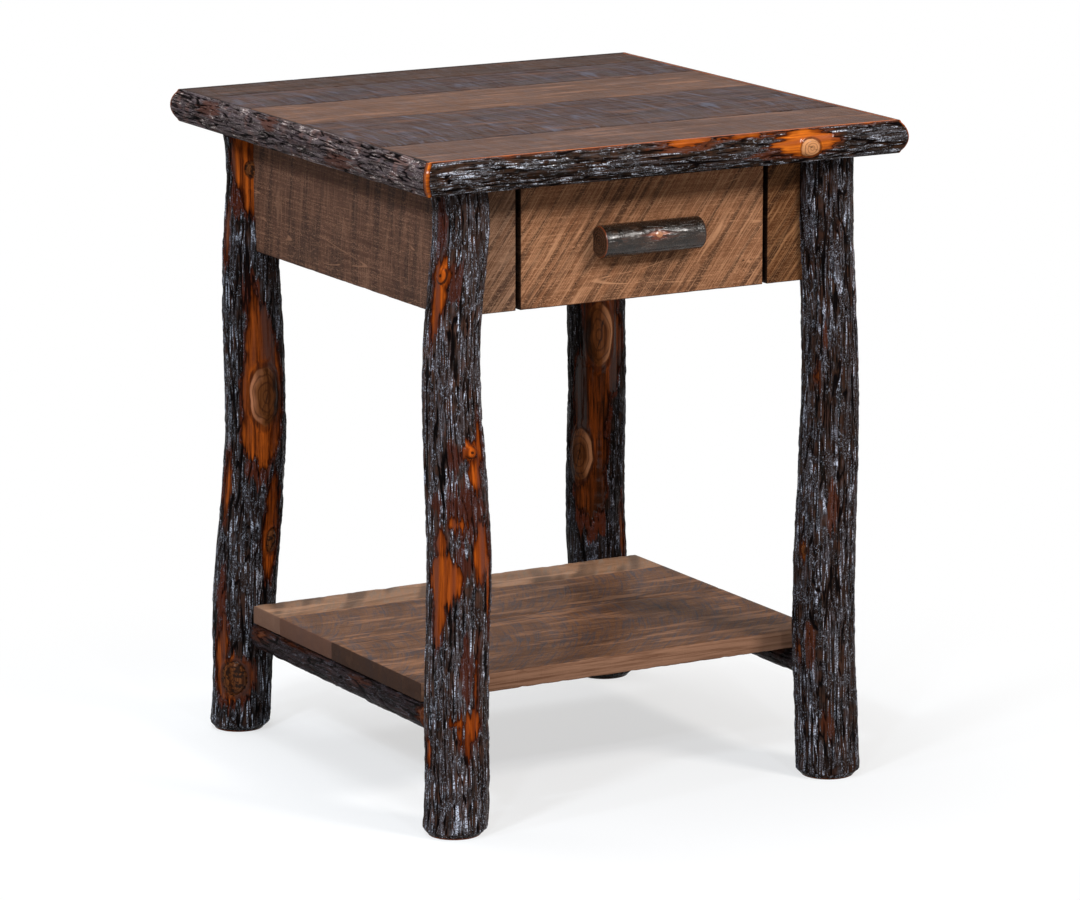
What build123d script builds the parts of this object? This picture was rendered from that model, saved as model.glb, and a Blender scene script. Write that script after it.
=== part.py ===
from build123d import *
import os
from math import sqrt

os.makedirs("parts", exist_ok=True)

# Rustic hickory end table: four log legs, a planked top edged with half-round bark slabs,
# one drawer on wooden runners, and a plank shelf on two log stretchers.
# Millimetres. The origin is on the floor under the middle of the top, +Z is up, the drawer
# opens towards -Y and X runs from left to right along the front.

# ---------------------------------------------------------------------------- driving sizes
# Top and its edging
table_height = 711.2
top_width = 561.0  # left to right, over the flat on top of the edging
top_depth = 567.0  # front to back, over the same flat
top_thickness = 19.0
top_plank_proportions = (107, 172, 122, 93, 64)  # from the front plank to the back plank
edging_height = 35.0
edging_flat = 4.5  # sanded flat on top of each half-round slab
edging_bulge = 8.0  # how far the bark stands out from that flat

# Log legs
leg_inset_x = 58.1  # heart of a leg from the side of the top
leg_inset_y = 49.5  # heart of a leg from the front or back of the top
leg_splay_x = 8.6  # how much further out the foot stands
leg_splay_y = 8.0
leg_radius = 29.5
foot_chamfer = 7.0

# Boards of the case
apron_height = 152.0
apron_thickness = 19.0
side_face_from_heart = 6.1  # outer face of a side apron, outside the heart of the legs
front_face_from_heart = 3.0  # face of the stiles and back apron, inside the heart of the legs
housing_depth = 3.0  # how deep the hidden arris of a board end is let into a leg
drawer_opening = 302.0
rail_depth = 45.0
rail_end_depth = 28.0  # part of a rail that reaches the side apron, clear of the leg
rail_notch = 13.5  # how far the rest of a rail stops short of the side apron
top_rail_thickness = 19.0
drawer_frame_thickness = 15.0
cleat_size = 19.0
tongue_thickness = 6.0
tongue_width = 12.0
tongue_end = 20.0  # the grooves stop this far from the plank ends
runner_tongue = 10.0  # how far a runner's tongue reaches into a rail

# Shelf and stretchers
shelf_height = 149.5  # top of the shelf
shelf_thickness = 20.0
shelf_end_overhang = 13.8  # past the heart of each stretcher
shelf_leg_gap = 14.5  # between the shelf and the surface of a leg
shelf_plank_proportions = (200, 121, 63)  # from the front plank to the back plank
stretcher_radius = 16.0
stretcher_flat = 0.5  # depth of the flat planed for the shelf
shoulder_length = 14.0  # pencil-cut shoulder of the round tenon
shoulder_gap = 0.4
shoulder_station = 1  # the station of the legs that is nearest the stretchers
low_girth = 1.14  # usual girth of a leg there
tenon_radius = 11.0
tenon_length = 22.0

# Drawer
drawer_side_gap = 5.0  # between the drawer front and each stile
drawer_top_gap = 2.5
drawer_front_thickness = 19.0
drawer_front_arris = 1.0
box_inset = 6.0  # drawer side inside the end of the drawer front
box_drop = 6.9  # drawer side below the top of the drawer front
box_thickness = 12.0
box_back_gap = 26.3  # between the closed drawer and the back apron
box_back_drop = 6.0
bottom_thickness = 6.0
bottom_inset = 10.0  # underside of the bottom panel above the edge of the drawer side
bottom_groove = 6.0
dovetail_pitch = 27.0
pin_half_width = 3.0  # at the narrow end of a dovetail pin
pin_flare = 1.7
running_clearance = 0.3
guide_clearance = 1.5
kicker_clearance = 3.4
guide_width = 20.0
guide_height = 25.0
runner_lip = 10.0  # runner inside the drawer side
pull_length = 120.0
pull_radius = 17.0
pull_heart = 12.0  # heart of the branch in front of its flat back
pull_rim = 2.5
button_width = 18.0
button_thickness = 10.0
button_catch = 10.8  # how far the turn button stands up behind the top rail
button_below_edge = 9.8  # its pivot below the top edge of the drawer back

# Fasteners
dowel_radius = 5.0
dowel_length = 40.0
short_dowel_radius = 4.0
short_dowel_length = 24.0
edging_dowel_radius = 3.0
edging_dowel_length = 14.0
shank_radius = 2.0
head_radius = 4.0
slot_width = 1.0  # screwdriver slot
screw_bite = 0.6  # share of the last board that a screw goes into
screw_row = 60.0  # inner screws of a row from the middle of the table
screw_edge = 0.75  # outer screws or dowels of a row, as a share of its half length
box_screw_rise = 22.0  # screws of the drawer front above and below the pull
bottom_screw_bite = 16.0
pivot_head_radius = 5.0
pivot_head = 2.5
bore_ease = 0.1  # round holes over their dowel or screw
joint_relief = 1.0  # depth of a blind hole or groove past its dowel or tongue

# Each log, at the stations up its length: how far its heart strays sideways and backwards from
# the straight line, and its girth as a multiple of leg_radius.
stations = (0.0, 0.16, 0.32, 0.48, 0.64, 0.81, 1.0)
logs = {
    "leg_front_left": (
        ((0, 0), (1.5, -1), (2.5, -1.5), (2, -1), (-3.5, 2), (-1, 1), (-2.5, 1)),
        (1.15, 1.13, 1.14, 1.12, 1.04, 0.98, 0.97),
    ),
    "leg_front_right": (
        ((-3.5, 2), (-5, 2.5), (-4.5, 2.5), (0, 0), (3, -2), (0.5, -0.5), (-0.5, 0)),
        (1.17, 1.14, 1.13, 1.09, 1.02, 1.01, 0.98),
    ),
    "leg_back_left": (
        ((-5, 2.5), (-2, 1), (3, -1.5), (8, -4.5), (5, -3), (2, -1), (-3, 1)),
        (1.13, 1.16, 1.18, 1.14, 1.12, 1.01, 1.09),
    ),
    "leg_back_right": (
        ((0, 0), (-4, 2), (-7.5, 4), (-5.5, 3), (-6, 3), (-2.5, 1.5), (0, 0)),
        (1.16, 1.17, 1.13, 1.12, 1.11, 1.05, 1.04),
    ),
}

# ---------------------------------------------------------------------------- derived sizes
top_underside = table_height - top_thickness
frame_bottom = top_underside - apron_height
edging_bottom = table_height - edging_height
field_x = top_width / 2 - edging_flat  # half of the planked field
field_y = top_depth / 2 - edging_flat

leg_x = top_width / 2 - leg_inset_x  # heart of a leg beside the aprons
leg_y = top_depth / 2 - leg_inset_y

side_outer = leg_x + side_face_from_heart
side_inner = side_outer - apron_thickness
case_front = leg_y - front_face_from_heart  # face of the stiles, and of the back apron
case_inner = case_front - apron_thickness
stile_inner = drawer_opening / 2

rail_y = case_inner - rail_depth  # inner edge of the rails
rail_end_y = rail_y + rail_end_depth
rail_x = side_inner - rail_notch
top_rail_bottom = top_underside - top_rail_thickness
frame_top = frame_bottom + drawer_frame_thickness  # what the drawer slides on

front_half = stile_inner - drawer_side_gap
front_back_y = -case_inner - running_clearance  # back of the drawer front, stopped by the rail
front_face_y = front_back_y - drawer_front_thickness
front_top = min(top_rail_bottom, edging_bottom) - drawer_top_gap
box_half = front_half - box_inset
box_inner = box_half - box_thickness
box_front_y = front_back_y + box_thickness
box_end_y = case_inner - box_back_gap
box_back_y = box_end_y - box_thickness
box_bottom = frame_top + running_clearance
box_top = front_top - box_drop
panel_bottom = box_bottom + bottom_inset
panel_top = panel_bottom + bottom_thickness
back_top = box_top - box_back_drop
guide_inner = box_half + guide_clearance
guide_outer = guide_inner + guide_width
kicker_bottom = box_top + kicker_clearance
pull_z = (frame_bottom + front_top) / 2
pivot_z = back_top - button_below_edge
button_reach = top_rail_bottom + button_catch - pivot_z

shelf_bottom = shelf_height - shelf_thickness
stretcher_z = shelf_bottom - stretcher_radius + stretcher_flat


# ---------------------------------------------------------------------------- helpers
def write(piece, name):
    """Names a finished piece and writes it."""
    piece.part.label = name
    export_step(piece.part, f"parts/{name}.step")


def block(corner, opposite, mode=Mode.ADD):
    """A board given by two opposite corners."""
    first = Vector(*corner)
    second = Vector(*opposite)
    size = second - first
    with Locations((first + second) / 2):
        Box(abs(size.X), abs(size.Y), abs(size.Z), mode=mode)


def pair(distance):
    """A place on the left or front, and its mirror image."""
    return (-distance, distance)


def grid(all_x, all_y, all_z):
    """Every point with one of each of these."""
    return [(x, y, z) for x in all_x for y in all_y for z in all_z]


def aim(points, direction):
    """Places at points, with the local Z axis along direction."""
    return [Plane(origin=point, z_dir=direction).location for point in points]


def drill(places, radius, length):
    """Round holes, each centred on its place."""
    with Locations(*places):
        Cylinder(radius + bore_ease, length + 2 * joint_relief, mode=Mode.SUBTRACT)


def dowels(places, radius, length):
    """Dowels with chamfered ends, each centred on its place."""
    with Locations(*places):
        Cylinder(radius, length)


def screw(length, ease=0.0):
    """A countersunk screw with its head at the origin, pointing down; ease swells it to a hole."""
    shank = shank_radius + ease
    head = head_radius + ease
    point = 2 * shank_radius
    with BuildPart() as made:
        with BuildSketch(Plane.XZ):
            with BuildLine():
                Polyline(
                    (0, 0),
                    (head, 0),
                    (shank, shank - head),
                    (shank, point - length),
                    (0, -length - ease),
                    close=True,
                )
            make_face()
        revolve(axis=Axis.Z)
        if not ease:
            depth = shank_radius / 2
            block((-head, -slot_width / 2, -depth), (head, slot_width / 2, 0), mode=Mode.SUBTRACT)
    return made.part


def screws(places, length):
    """Screws driven from each place against its local Z axis."""
    solid = screw(length)
    with Locations(*places):
        add(solid)


def screw_holes(places, length):
    """Holes for those screws."""
    solid = screw(length, bore_ease)
    with Locations(*places):
        add(solid, mode=Mode.SUBTRACT)


def plank_seams(proportions, half):
    """Where planks of these proportions begin and end over a field of this half depth."""
    seams = [-half]
    for share in proportions:
        seams.append(seams[-1] + 2 * half * share / sum(proportions))
    return seams


def middles(seams):
    """The middle of each plank."""
    return [(a + b) / 2 for a, b in zip(seams, seams[1:])]


def corner_of(name):
    """Which way a leg stands from the middle: left or right, and front or back."""
    return (-1 if "left" in name else 1), (-1 if "front" in name else 1)


def leg_heart(side_x, side_y, height):
    """Straight heart line of a leg: splayed below the aprons and upright beside them."""
    splay = max(0.0, 1.0 - height / frame_bottom)
    return side_x * (leg_x + leg_splay_x * splay), side_y * (leg_y + leg_splay_y * splay)


def let_in(near, far):
    """How far from the heart of a leg a board ends, with its far arris let into the leg."""
    reach = sqrt(max(leg_radius**2 - max(near, far) ** 2, 0.0))
    return max(reach - housing_depth, 0.0)


# A board across the front or back stops before it meets the side aprons inside the leg.
cross_end = min(
    leg_x - let_in(front_face_from_heart, leg_y - case_inner),
    side_inner - housing_depth,
)
side_end = leg_y - let_in(side_face_from_heart, leg_x - side_inner)

stretcher_x, stretcher_leg_y = leg_heart(1, 1, stretcher_z)
shelf_x = stretcher_x + shelf_end_overhang
shelf_y = stretcher_leg_y - leg_radius * low_girth - shelf_leg_gap


def shoulder(side_x, side_y):
    """Where the shoulder of a stretcher meets the leg at this corner, from the middle."""
    strays, girths = next(log for name, log in logs.items() if corner_of(name) == (side_x, side_y))
    low = shoulder_station
    return stretcher_leg_y + side_y * strays[low][1] - leg_radius * girths[low] - shoulder_gap


top_seams = plank_seams(top_plank_proportions, field_y)
shelf_seams = plank_seams(shelf_plank_proportions, shelf_y)

# Dowels: the side aprons' stand at other heights than the ones that cross them in the legs.
along_x = (1, 0, 0)
along_y = (0, 1, 0)
side_dowel_z = [frame_bottom + apron_height * share for share in (0.16, 0.5, 0.84)]
cross_dowel_z = [frame_bottom + apron_height * share for share in (0.33, 0.67)]
side_heart_x = (side_outer + side_inner) / 2
cross_heart_y = (case_front + case_inner) / 2
side_dowels = aim(grid(pair(side_heart_x), pair(side_end), side_dowel_z), along_y)
cross_dowels = aim(grid(pair(cross_end), pair(cross_heart_y), cross_dowel_z), along_x)

rail_dowel_y = (rail_y + rail_end_y) / 2
top_rail_z = (top_rail_bottom + top_underside) / 2
frame_z = (frame_bottom + frame_top) / 2
stile_middle = (stile_inner + cross_end) / 2
rail_dowels = aim(
    grid(pair(side_inner), (-rail_dowel_y,), (top_rail_z, frame_z))
    + grid(pair(side_inner), (rail_dowel_y,), (frame_z,)),
    along_x,
)
stile_dowels = aim(grid(pair(stile_middle), (-case_inner,), (top_rail_z, frame_z)), along_y)

slab_dowel_z = table_height - top_thickness / 2
slab_dowel_x = (*pair(screw_edge * field_x), *pair((1 - screw_edge) * field_x))
slab_dowels = aim(grid(pair(field_x), middles(top_seams), (slab_dowel_z,)), along_x) + aim(
    grid(slab_dowel_x, pair(field_y), (slab_dowel_z,)), along_y
)

# Screws, each placed at its head and driven against the direction that it is aimed at.
up = (0, 0, 1)
down = (0, 0, -1)
cleat_x = side_inner - cleat_size / 2
cleat_bottom = top_underside - cleat_size
back_cleat_y = case_inner - cleat_size / 2
kicker_x = box_half - box_thickness / 2
inner_planks = middles(top_seams)[1:4]
screw_row_x = (*pair(stile_middle), *pair(screw_row))
rail_screws = aim(grid(screw_row_x, (-rail_end_y,), (top_rail_bottom,)), down)
rail_screw_length = top_rail_thickness + screw_bite * top_thickness
cleat_screws = aim(
    grid(pair(cleat_x), inner_planks, (cleat_bottom,))
    + grid(screw_row_x, (back_cleat_y,), (cleat_bottom,)),
    down,
)
cleat_screw_length = cleat_size + screw_bite * top_thickness
kicker_screws = aim(grid(pair(kicker_x), inner_planks, (kicker_bottom,)), down)
kicker_screw_length = top_underside - kicker_bottom + screw_bite * top_thickness
stretcher_bottom = stretcher_z - stretcher_radius + stretcher_flat
shelf_screws = aim(grid(pair(stretcher_x), middles(shelf_seams), (stretcher_bottom,)), down)
shelf_screw_length = shelf_bottom - stretcher_bottom + screw_bite * shelf_thickness
guide_middle = (guide_inner + guide_outer) / 2
guide_screw_y = (0, *pair(screw_edge * rail_y))
guide_screws = aim(grid(pair(guide_middle), guide_screw_y, (frame_top + guide_height,)), up)
guide_screw_length = guide_height + screw_bite * drawer_frame_thickness

box_screw_z = (pull_z - box_screw_rise, pull_z + box_screw_rise)
front_screws = aim(grid(pair(screw_edge * box_inner), (box_front_y,), box_screw_z), along_y)
front_screw_length = box_thickness + screw_bite * drawer_front_thickness
pull_screws = aim(grid(pair(pull_length / 4), (box_front_y,), (pull_z,)), along_y)
pull_screw_length = box_thickness + drawer_front_thickness + pull_heart
bottom_screw_x = (0, *pair(screw_edge * box_inner))
bottom_screws = aim(grid(bottom_screw_x, ((box_back_y + box_end_y) / 2,), (panel_bottom,)), down)
bottom_screw_length = bottom_thickness + bottom_screw_bite

# Outlines that a piece and what it is let into share: two opposite corners.
side_apron_blocks = {
    side: (
        (side * side_inner, -side_end, frame_bottom),
        (side * side_outer, side_end, top_underside),
    )
    for side in (-1, 1)
}
stile_blocks = {
    side: (
        (side * stile_inner, -case_front, frame_bottom),
        (side * cross_end, -case_inner, top_underside),
    )
    for side in (-1, 1)
}
back_apron_block = (
    (-cross_end, case_inner, frame_bottom),
    (cross_end, case_front, top_underside),
)

# ---------------------------------------------------------------------------- legs
for name, (strays, girths) in logs.items():
    side_x, side_y = corner_of(name)
    with BuildPart() as leg:
        for share, (stray_x, stray_y), girth in zip(stations, strays, girths):
            height = share * top_underside
            heart_x, heart_y = leg_heart(side_x, side_y, height)
            with BuildSketch(Plane.XY.offset(height)):
                with Locations((heart_x + stray_x, heart_y + stray_y)):
                    Circle(leg_radius * girth)
        loft()
        chamfer(leg.faces().sort_by(Axis.Z)[0].edges(), foot_chamfer)
        # Housings for the board ends, and holes for their dowels and the stretcher's tenon
        block(*side_apron_blocks[side_x], mode=Mode.SUBTRACT)
        block(*(stile_blocks[side_x] if side_y < 0 else back_apron_block), mode=Mode.SUBTRACT)
        drill(side_dowels, dowel_radius, dowel_length)
        drill(cross_dowels, dowel_radius, dowel_length)
        socket = (side_x * stretcher_x, side_y * shoulder(side_x, side_y), stretcher_z)
        drill(aim([socket], (0, 1, 0)), tenon_radius, 2 * tenon_length)
    write(leg, name)

# ---------------------------------------------------------------------------- stretchers and shelf
for side, name in ((-1, "stretcher_left"), (1, "stretcher_right")):
    heart = Plane(origin=(side * stretcher_x, 0, stretcher_z), x_dir=(1, 0, 0), z_dir=(0, 0, 1))
    front = -shoulder(side, -1)
    back = shoulder(side, 1)
    with BuildPart() as stretcher:
        with BuildSketch(heart):
            with BuildLine():
                Polyline(
                    (0, front - tenon_length),
                    (tenon_radius, front - tenon_length),
                    (tenon_radius, front),
                    (stretcher_radius, front + shoulder_length),
                    (stretcher_radius, back - shoulder_length),
                    (tenon_radius, back),
                    (tenon_radius, back + tenon_length),
                    (0, back + tenon_length),
                    close=True,
                )
            make_face()
        revolve(axis=Axis(heart.origin, (0, 1, 0)))
        block(
            (side * stretcher_x - stretcher_radius, -shelf_y, shelf_bottom),
            (side * stretcher_x + stretcher_radius, shelf_y, shelf_bottom + stretcher_radius),
            mode=Mode.SUBTRACT,
        )
        screw_holes(shelf_screws, shelf_screw_length)
    write(stretcher, name)


def tongue_blocks(seams, half_length, middle_z, relief=0.0):
    """Corners of the loose tongues in the inner seams of a plank field."""
    half_width = tongue_width / 2 + relief
    return [
        (
            (-half_length - relief, seam - half_width, middle_z - tongue_thickness / 2),
            (half_length + relief, seam + half_width, middle_z + tongue_thickness / 2),
        )
        for seam in seams[1:-1]
    ]


shelf_middle = shelf_bottom + shelf_thickness / 2
top_middle = top_underside + top_thickness / 2

for index, name in enumerate(("shelf_plank_front", "shelf_plank_middle", "shelf_plank_back")):
    with BuildPart() as plank:
        block(
            (-shelf_x, shelf_seams[index], shelf_bottom),
            (shelf_x, shelf_seams[index + 1], shelf_height),
        )
        for corners in tongue_blocks(shelf_seams, shelf_x - tongue_end, shelf_middle, joint_relief):
            block(*corners, mode=Mode.SUBTRACT)
        screw_holes(shelf_screws, shelf_screw_length)
    write(plank, name)

with BuildPart() as shelf_tongues:
    for corners in tongue_blocks(shelf_seams, shelf_x - tongue_end, shelf_middle):
        block(*corners)
write(shelf_tongues, "shelf_tongues")

with BuildPart() as shelf_screw_set:
    screws(shelf_screws, shelf_screw_length)
write(shelf_screw_set, "shelf_screws")

# ---------------------------------------------------------------------------- case boards
for side, name in ((-1, "side_apron_left"), (1, "side_apron_right")):
    with BuildPart() as side_apron:
        block(*side_apron_blocks[side])
        drill(side_dowels, dowel_radius, dowel_length)
        drill(rail_dowels, short_dowel_radius, short_dowel_length)
    write(side_apron, name)

with BuildPart() as back_apron:
    block(*back_apron_block)
    drill(cross_dowels, dowel_radius, dowel_length)
write(back_apron, "back_apron")

for side, name in ((-1, "front_stile_left"), (1, "front_stile_right")):
    with BuildPart() as stile:
        block(*stile_blocks[side])
        drill(cross_dowels, dowel_radius, dowel_length)
        drill(stile_dowels, short_dowel_radius, short_dowel_length)
    write(stile, name)


# ---------------------------------------------------------------------------- drawer frame
def runner_blocks(side, relief=0.0):
    """Corners of a runner between the rails, and of its tongues in their grooves."""
    inner_x = side * (box_inner - runner_lip)
    outer_x = side * guide_outer
    body = ((inner_x, -rail_y, frame_bottom), (outer_x, rail_y, frame_top))
    tongue_y = rail_y + runner_tongue + relief
    tongue_z = frame_bottom + drawer_frame_thickness / 3
    tongue_top = frame_top - drawer_frame_thickness / 3
    tongues = ((inner_x, -tongue_y, tongue_z), (outer_x, tongue_y, tongue_top))
    return body, tongues


# A rail is wide where it meets the side aprons, and notched round the legs.
rails = {
    "front_top_rail": (-1, top_rail_bottom, top_rail_thickness),
    "front_lower_rail": (-1, frame_bottom, drawer_frame_thickness),
    "back_lower_rail": (1, frame_bottom, drawer_frame_thickness),
}
for name, (side_y, bottom, thickness) in rails.items():
    with BuildPart() as rail:
        with BuildSketch(Plane.XY.offset(bottom)):
            with BuildLine():
                Polyline(
                    (-side_inner, side_y * rail_y),
                    (-side_inner, side_y * rail_end_y),
                    (-rail_x, side_y * rail_end_y),
                    (-rail_x, side_y * case_inner),
                    (rail_x, side_y * case_inner),
                    (rail_x, side_y * rail_end_y),
                    (side_inner, side_y * rail_end_y),
                    (side_inner, side_y * rail_y),
                    close=True,
                )
            make_face()
        extrude(amount=thickness)
        if bottom > frame_bottom:
            # The top rail comes forward between the stiles, flush with their faces
            block((-stile_inner, -case_front, bottom), (stile_inner, -case_inner, top_underside))
        for side_x in (-1, 1):
            block(*runner_blocks(side_x, joint_relief)[1], mode=Mode.SUBTRACT)
        drill(rail_dowels + stile_dowels, short_dowel_radius, short_dowel_length)
        screw_holes(rail_screws, rail_screw_length)
    write(rail, name)

for side, name in ((-1, "runner_left"), (1, "runner_right")):
    with BuildPart() as runner:
        for corners in runner_blocks(side):
            block(*corners)
        screw_holes(guide_screws, guide_screw_length)
    write(runner, name)

for side, name in ((-1, "guide_left"), (1, "guide_right")):
    with BuildPart() as guide:
        block(
            (side * guide_inner, -rail_y, frame_top),
            (side * guide_outer, rail_y, frame_top + guide_height),
        )
        screw_holes(guide_screws, guide_screw_length)
    write(guide, name)

for side, name in ((-1, "kicker_left"), (1, "kicker_right")):
    with BuildPart() as kicker:
        block(
            (side * kicker_x - box_thickness, -rail_y, kicker_bottom),
            (side * kicker_x + box_thickness, case_inner - cleat_size, top_underside),
        )
        screw_holes(kicker_screws, kicker_screw_length)
    write(kicker, name)

for side, name in ((-1, "top_cleat_left"), (1, "top_cleat_right")):
    with BuildPart() as cleat:
        block(
            (side * cleat_x - cleat_size / 2, -rail_y, cleat_bottom),
            (side * cleat_x + cleat_size / 2, case_inner - cleat_size, top_underside),
        )
        screw_holes(cleat_screws, cleat_screw_length)
    write(cleat, name)

with BuildPart() as top_cleat_back:
    block(
        (-rail_x, case_inner - cleat_size, cleat_bottom),
        (rail_x, case_inner, top_underside),
    )
    screw_holes(cleat_screws, cleat_screw_length)
write(top_cleat_back, "top_cleat_back")

# ---------------------------------------------------------------------------- top
plank_names = ("front", "second", "middle", "fourth", "back")
for index, name in enumerate(plank_names):
    with BuildPart() as plank:
        block(
            (-field_x, top_seams[index], top_underside),
            (field_x, top_seams[index + 1], table_height),
        )
        for corners in tongue_blocks(top_seams, field_x - tongue_end, top_middle, joint_relief):
            block(*corners, mode=Mode.SUBTRACT)
        drill(slab_dowels, edging_dowel_radius, edging_dowel_length)
        screw_holes(rail_screws, rail_screw_length)
        screw_holes(cleat_screws, cleat_screw_length)
        screw_holes(kicker_screws, kicker_screw_length)
    write(plank, f"top_plank_{name}")

with BuildPart() as top_tongues:
    for corners in tongue_blocks(top_seams, field_x - tongue_end, top_middle):
        block(*corners)
write(top_tongues, "top_tongues")

slab_sides = {
    "edging_front": ((0, -1), field_y, field_x),
    "edging_right": ((1, 0), field_x, field_y),
    "edging_back": ((0, 1), field_y, field_x),
    "edging_left": ((-1, 0), field_x, field_y),
}
for name, ((out_x, out_y), distance, half_length) in slab_sides.items():
    out = Vector(out_x, out_y, 0)
    along = out.cross(Vector(0, 0, 1))
    seat = out * distance + Vector(0, 0, table_height)
    with BuildPart() as slab:
        with BuildSketch(Plane(origin=seat, x_dir=out, z_dir=along)):
            with BuildLine():
                Polyline(
                    (edging_flat, 0),
                    (0, 0),
                    (0, -edging_height),
                    (edging_flat, -edging_height),
                )
                ThreePointArc(
                    (edging_flat, -edging_height),
                    (edging_flat + edging_bulge, -edging_height / 2),
                    (edging_flat, 0),
                )
            make_face()
        extrude(amount=half_length + edging_flat + edging_bulge, both=True)
        # Mitres through the corners of the planked field
        for end in (-1, 1):
            corner = seat + along * (end * half_length)
            split(bisect_by=Plane(origin=corner, z_dir=along * end - out), keep=Keep.BOTTOM)
        drill(slab_dowels, edging_dowel_radius, edging_dowel_length)
    write(slab, name)

# ---------------------------------------------------------------------------- case fasteners
dowel_sets = {
    "side_apron_dowels": (side_dowels, dowel_radius, dowel_length),
    "cross_dowels": (cross_dowels, dowel_radius, dowel_length),
    "rail_dowels": (rail_dowels + stile_dowels, short_dowel_radius, short_dowel_length),
    "edging_dowels": (slab_dowels, edging_dowel_radius, edging_dowel_length),
}
for name, (places, radius, length) in dowel_sets.items():
    with BuildPart() as dowel_set:
        dowels(places, radius, length)
        chamfer(dowel_set.edges().filter_by(GeomType.CIRCLE), radius / 5)
    write(dowel_set, name)

with BuildPart() as top_screws:
    screws(rail_screws, rail_screw_length)
    screws(cleat_screws, cleat_screw_length)
    screws(kicker_screws, kicker_screw_length)
write(top_screws, "top_screws")

with BuildPart() as guide_screw_set:
    screws(guide_screws, guide_screw_length)
write(guide_screw_set, "guide_screws")


# ---------------------------------------------------------------------------- drawer
def pins(tip_y, base_y, low_z, high_z):
    """Outlines of dovetail pins, in Y and Z: half pins at the edges and whole ones between."""
    count = max(1, round((high_z - low_z) / dovetail_pitch))
    pitch = (high_z - low_z) / count
    outlines = []
    for step in range(count + 1):
        middle = low_z + step * pitch
        narrow = (max(middle - pin_half_width, low_z), min(middle + pin_half_width, high_z))
        wide_half = pin_half_width + pin_flare
        wide = (max(middle - wide_half, low_z), min(middle + wide_half, high_z))
        outlines.append(
            ((tip_y, narrow[0]), (base_y, wide[0]), (base_y, wide[1]), (tip_y, narrow[1]))
        )
    return outlines


front_pins = pins(front_back_y, box_front_y, box_bottom, box_top)
back_pins = pins(box_end_y, box_back_y, panel_top, back_top)


def draw(outlines):
    """Draws each outline as a face of the current sketch."""
    for outline in outlines:
        Polygon(*outline, align=None)


panel_x = box_inner + bottom_groove
panel_y = box_front_y - bottom_groove
panel_corners = ((-panel_x, panel_y, panel_bottom), (panel_x, box_end_y, panel_top))

with BuildPart() as drawer_front:
    block((-front_half, front_face_y, frame_bottom), (front_half, front_back_y, front_top))
    chamfer(drawer_front.faces().sort_by(Axis.Y)[0].edges(), drawer_front_arris)
    screw_holes(front_screws, front_screw_length)
    screw_holes(pull_screws, pull_screw_length)
write(drawer_front, "drawer_front")

with BuildPart() as drawer_box_front:
    block((-box_inner, front_back_y, box_bottom), (box_inner, box_front_y, box_top))
    for start in (-box_half, box_inner):
        with BuildSketch(Plane.YZ.offset(start)):
            draw(front_pins)
        extrude(amount=box_thickness)
    block(*panel_corners, mode=Mode.SUBTRACT)
    screw_holes(front_screws, front_screw_length)
    screw_holes(pull_screws, pull_screw_length)
write(drawer_box_front, "drawer_box_front")

for start, name in ((-box_half, "drawer_side_left"), (box_inner, "drawer_side_right")):
    with BuildPart() as drawer_side:
        block((start, front_back_y, box_bottom), (start + box_thickness, box_end_y, box_top))
        with BuildSketch(Plane.YZ.offset(start)):
            draw(front_pins + back_pins)
        extrude(amount=box_thickness, mode=Mode.SUBTRACT)
        block(*panel_corners, mode=Mode.SUBTRACT)
    write(drawer_side, name)

button_gap = running_clearance
button_y = box_back_y - button_gap - button_thickness
pivot_length = 2 * button_gap + button_thickness + screw_bite * box_thickness

with BuildPart() as turn_button_screw:
    with BuildSketch(Plane(origin=(0, button_y - button_gap, pivot_z), z_dir=(0, -1, 0))):
        Circle(pivot_head_radius)
    extrude(amount=pivot_head)
    with BuildSketch(Plane(origin=(0, button_y - button_gap, pivot_z), z_dir=(0, 1, 0))):
        Circle(shank_radius)
    extrude(amount=pivot_length)
write(turn_button_screw, "turn_button_screw")

with BuildPart() as drawer_back:
    block((-box_inner, box_back_y, panel_top), (box_inner, box_end_y, back_top))
    for start in (-box_half, box_inner):
        with BuildSketch(Plane.YZ.offset(start)):
            draw(back_pins)
        extrude(amount=box_thickness)
    screw_holes(bottom_screws, bottom_screw_length)
    drill(aim([(0, button_y - button_gap, pivot_z)], (0, 1, 0)), shank_radius, 2 * pivot_length)
write(drawer_back, "drawer_back")

with BuildPart() as drawer_bottom:
    block(*panel_corners)
    screw_holes(bottom_screws, bottom_screw_length)
write(drawer_bottom, "drawer_bottom")

with BuildPart() as turn_button:
    with BuildSketch(Plane(origin=(0, button_y, pivot_z), x_dir=(0, 0, 1), z_dir=(0, 1, 0))):
        SlotOverall(2 * button_reach, button_width)
        Circle(shank_radius + running_clearance, mode=Mode.SUBTRACT)
    extrude(amount=button_thickness)
write(turn_button, "turn_button")

# The pull is a piece of branch with a flat cut on its back and a pencil-cut rim at each end.
pull_y = front_face_y - pull_heart
with BuildPart() as drawer_pull:
    with BuildSketch(Plane(origin=(-pull_length / 2, pull_y, pull_z), z_dir=(1, 0, 0))):
        Circle(pull_radius)
    extrude(amount=pull_length)
    chamfer(drawer_pull.edges().filter_by(GeomType.CIRCLE), pull_rim)
    split(bisect_by=Plane(origin=(0, front_face_y, pull_z), z_dir=(0, 1, 0)), keep=Keep.BOTTOM)
    screw_holes(pull_screws, pull_screw_length)
write(drawer_pull, "drawer_pull")

drawer_screw_sets = {
    "drawer_front_screws": (front_screws, front_screw_length),
    "pull_screws": (pull_screws, pull_screw_length),
    "drawer_bottom_screws": (bottom_screws, bottom_screw_length),
}
for name, (places, length) in drawer_screw_sets.items():
    with BuildPart() as screw_set:
        screws(places, length)
    write(screw_set, name)
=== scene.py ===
from math import cos, pi, radians, sin, tau

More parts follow.
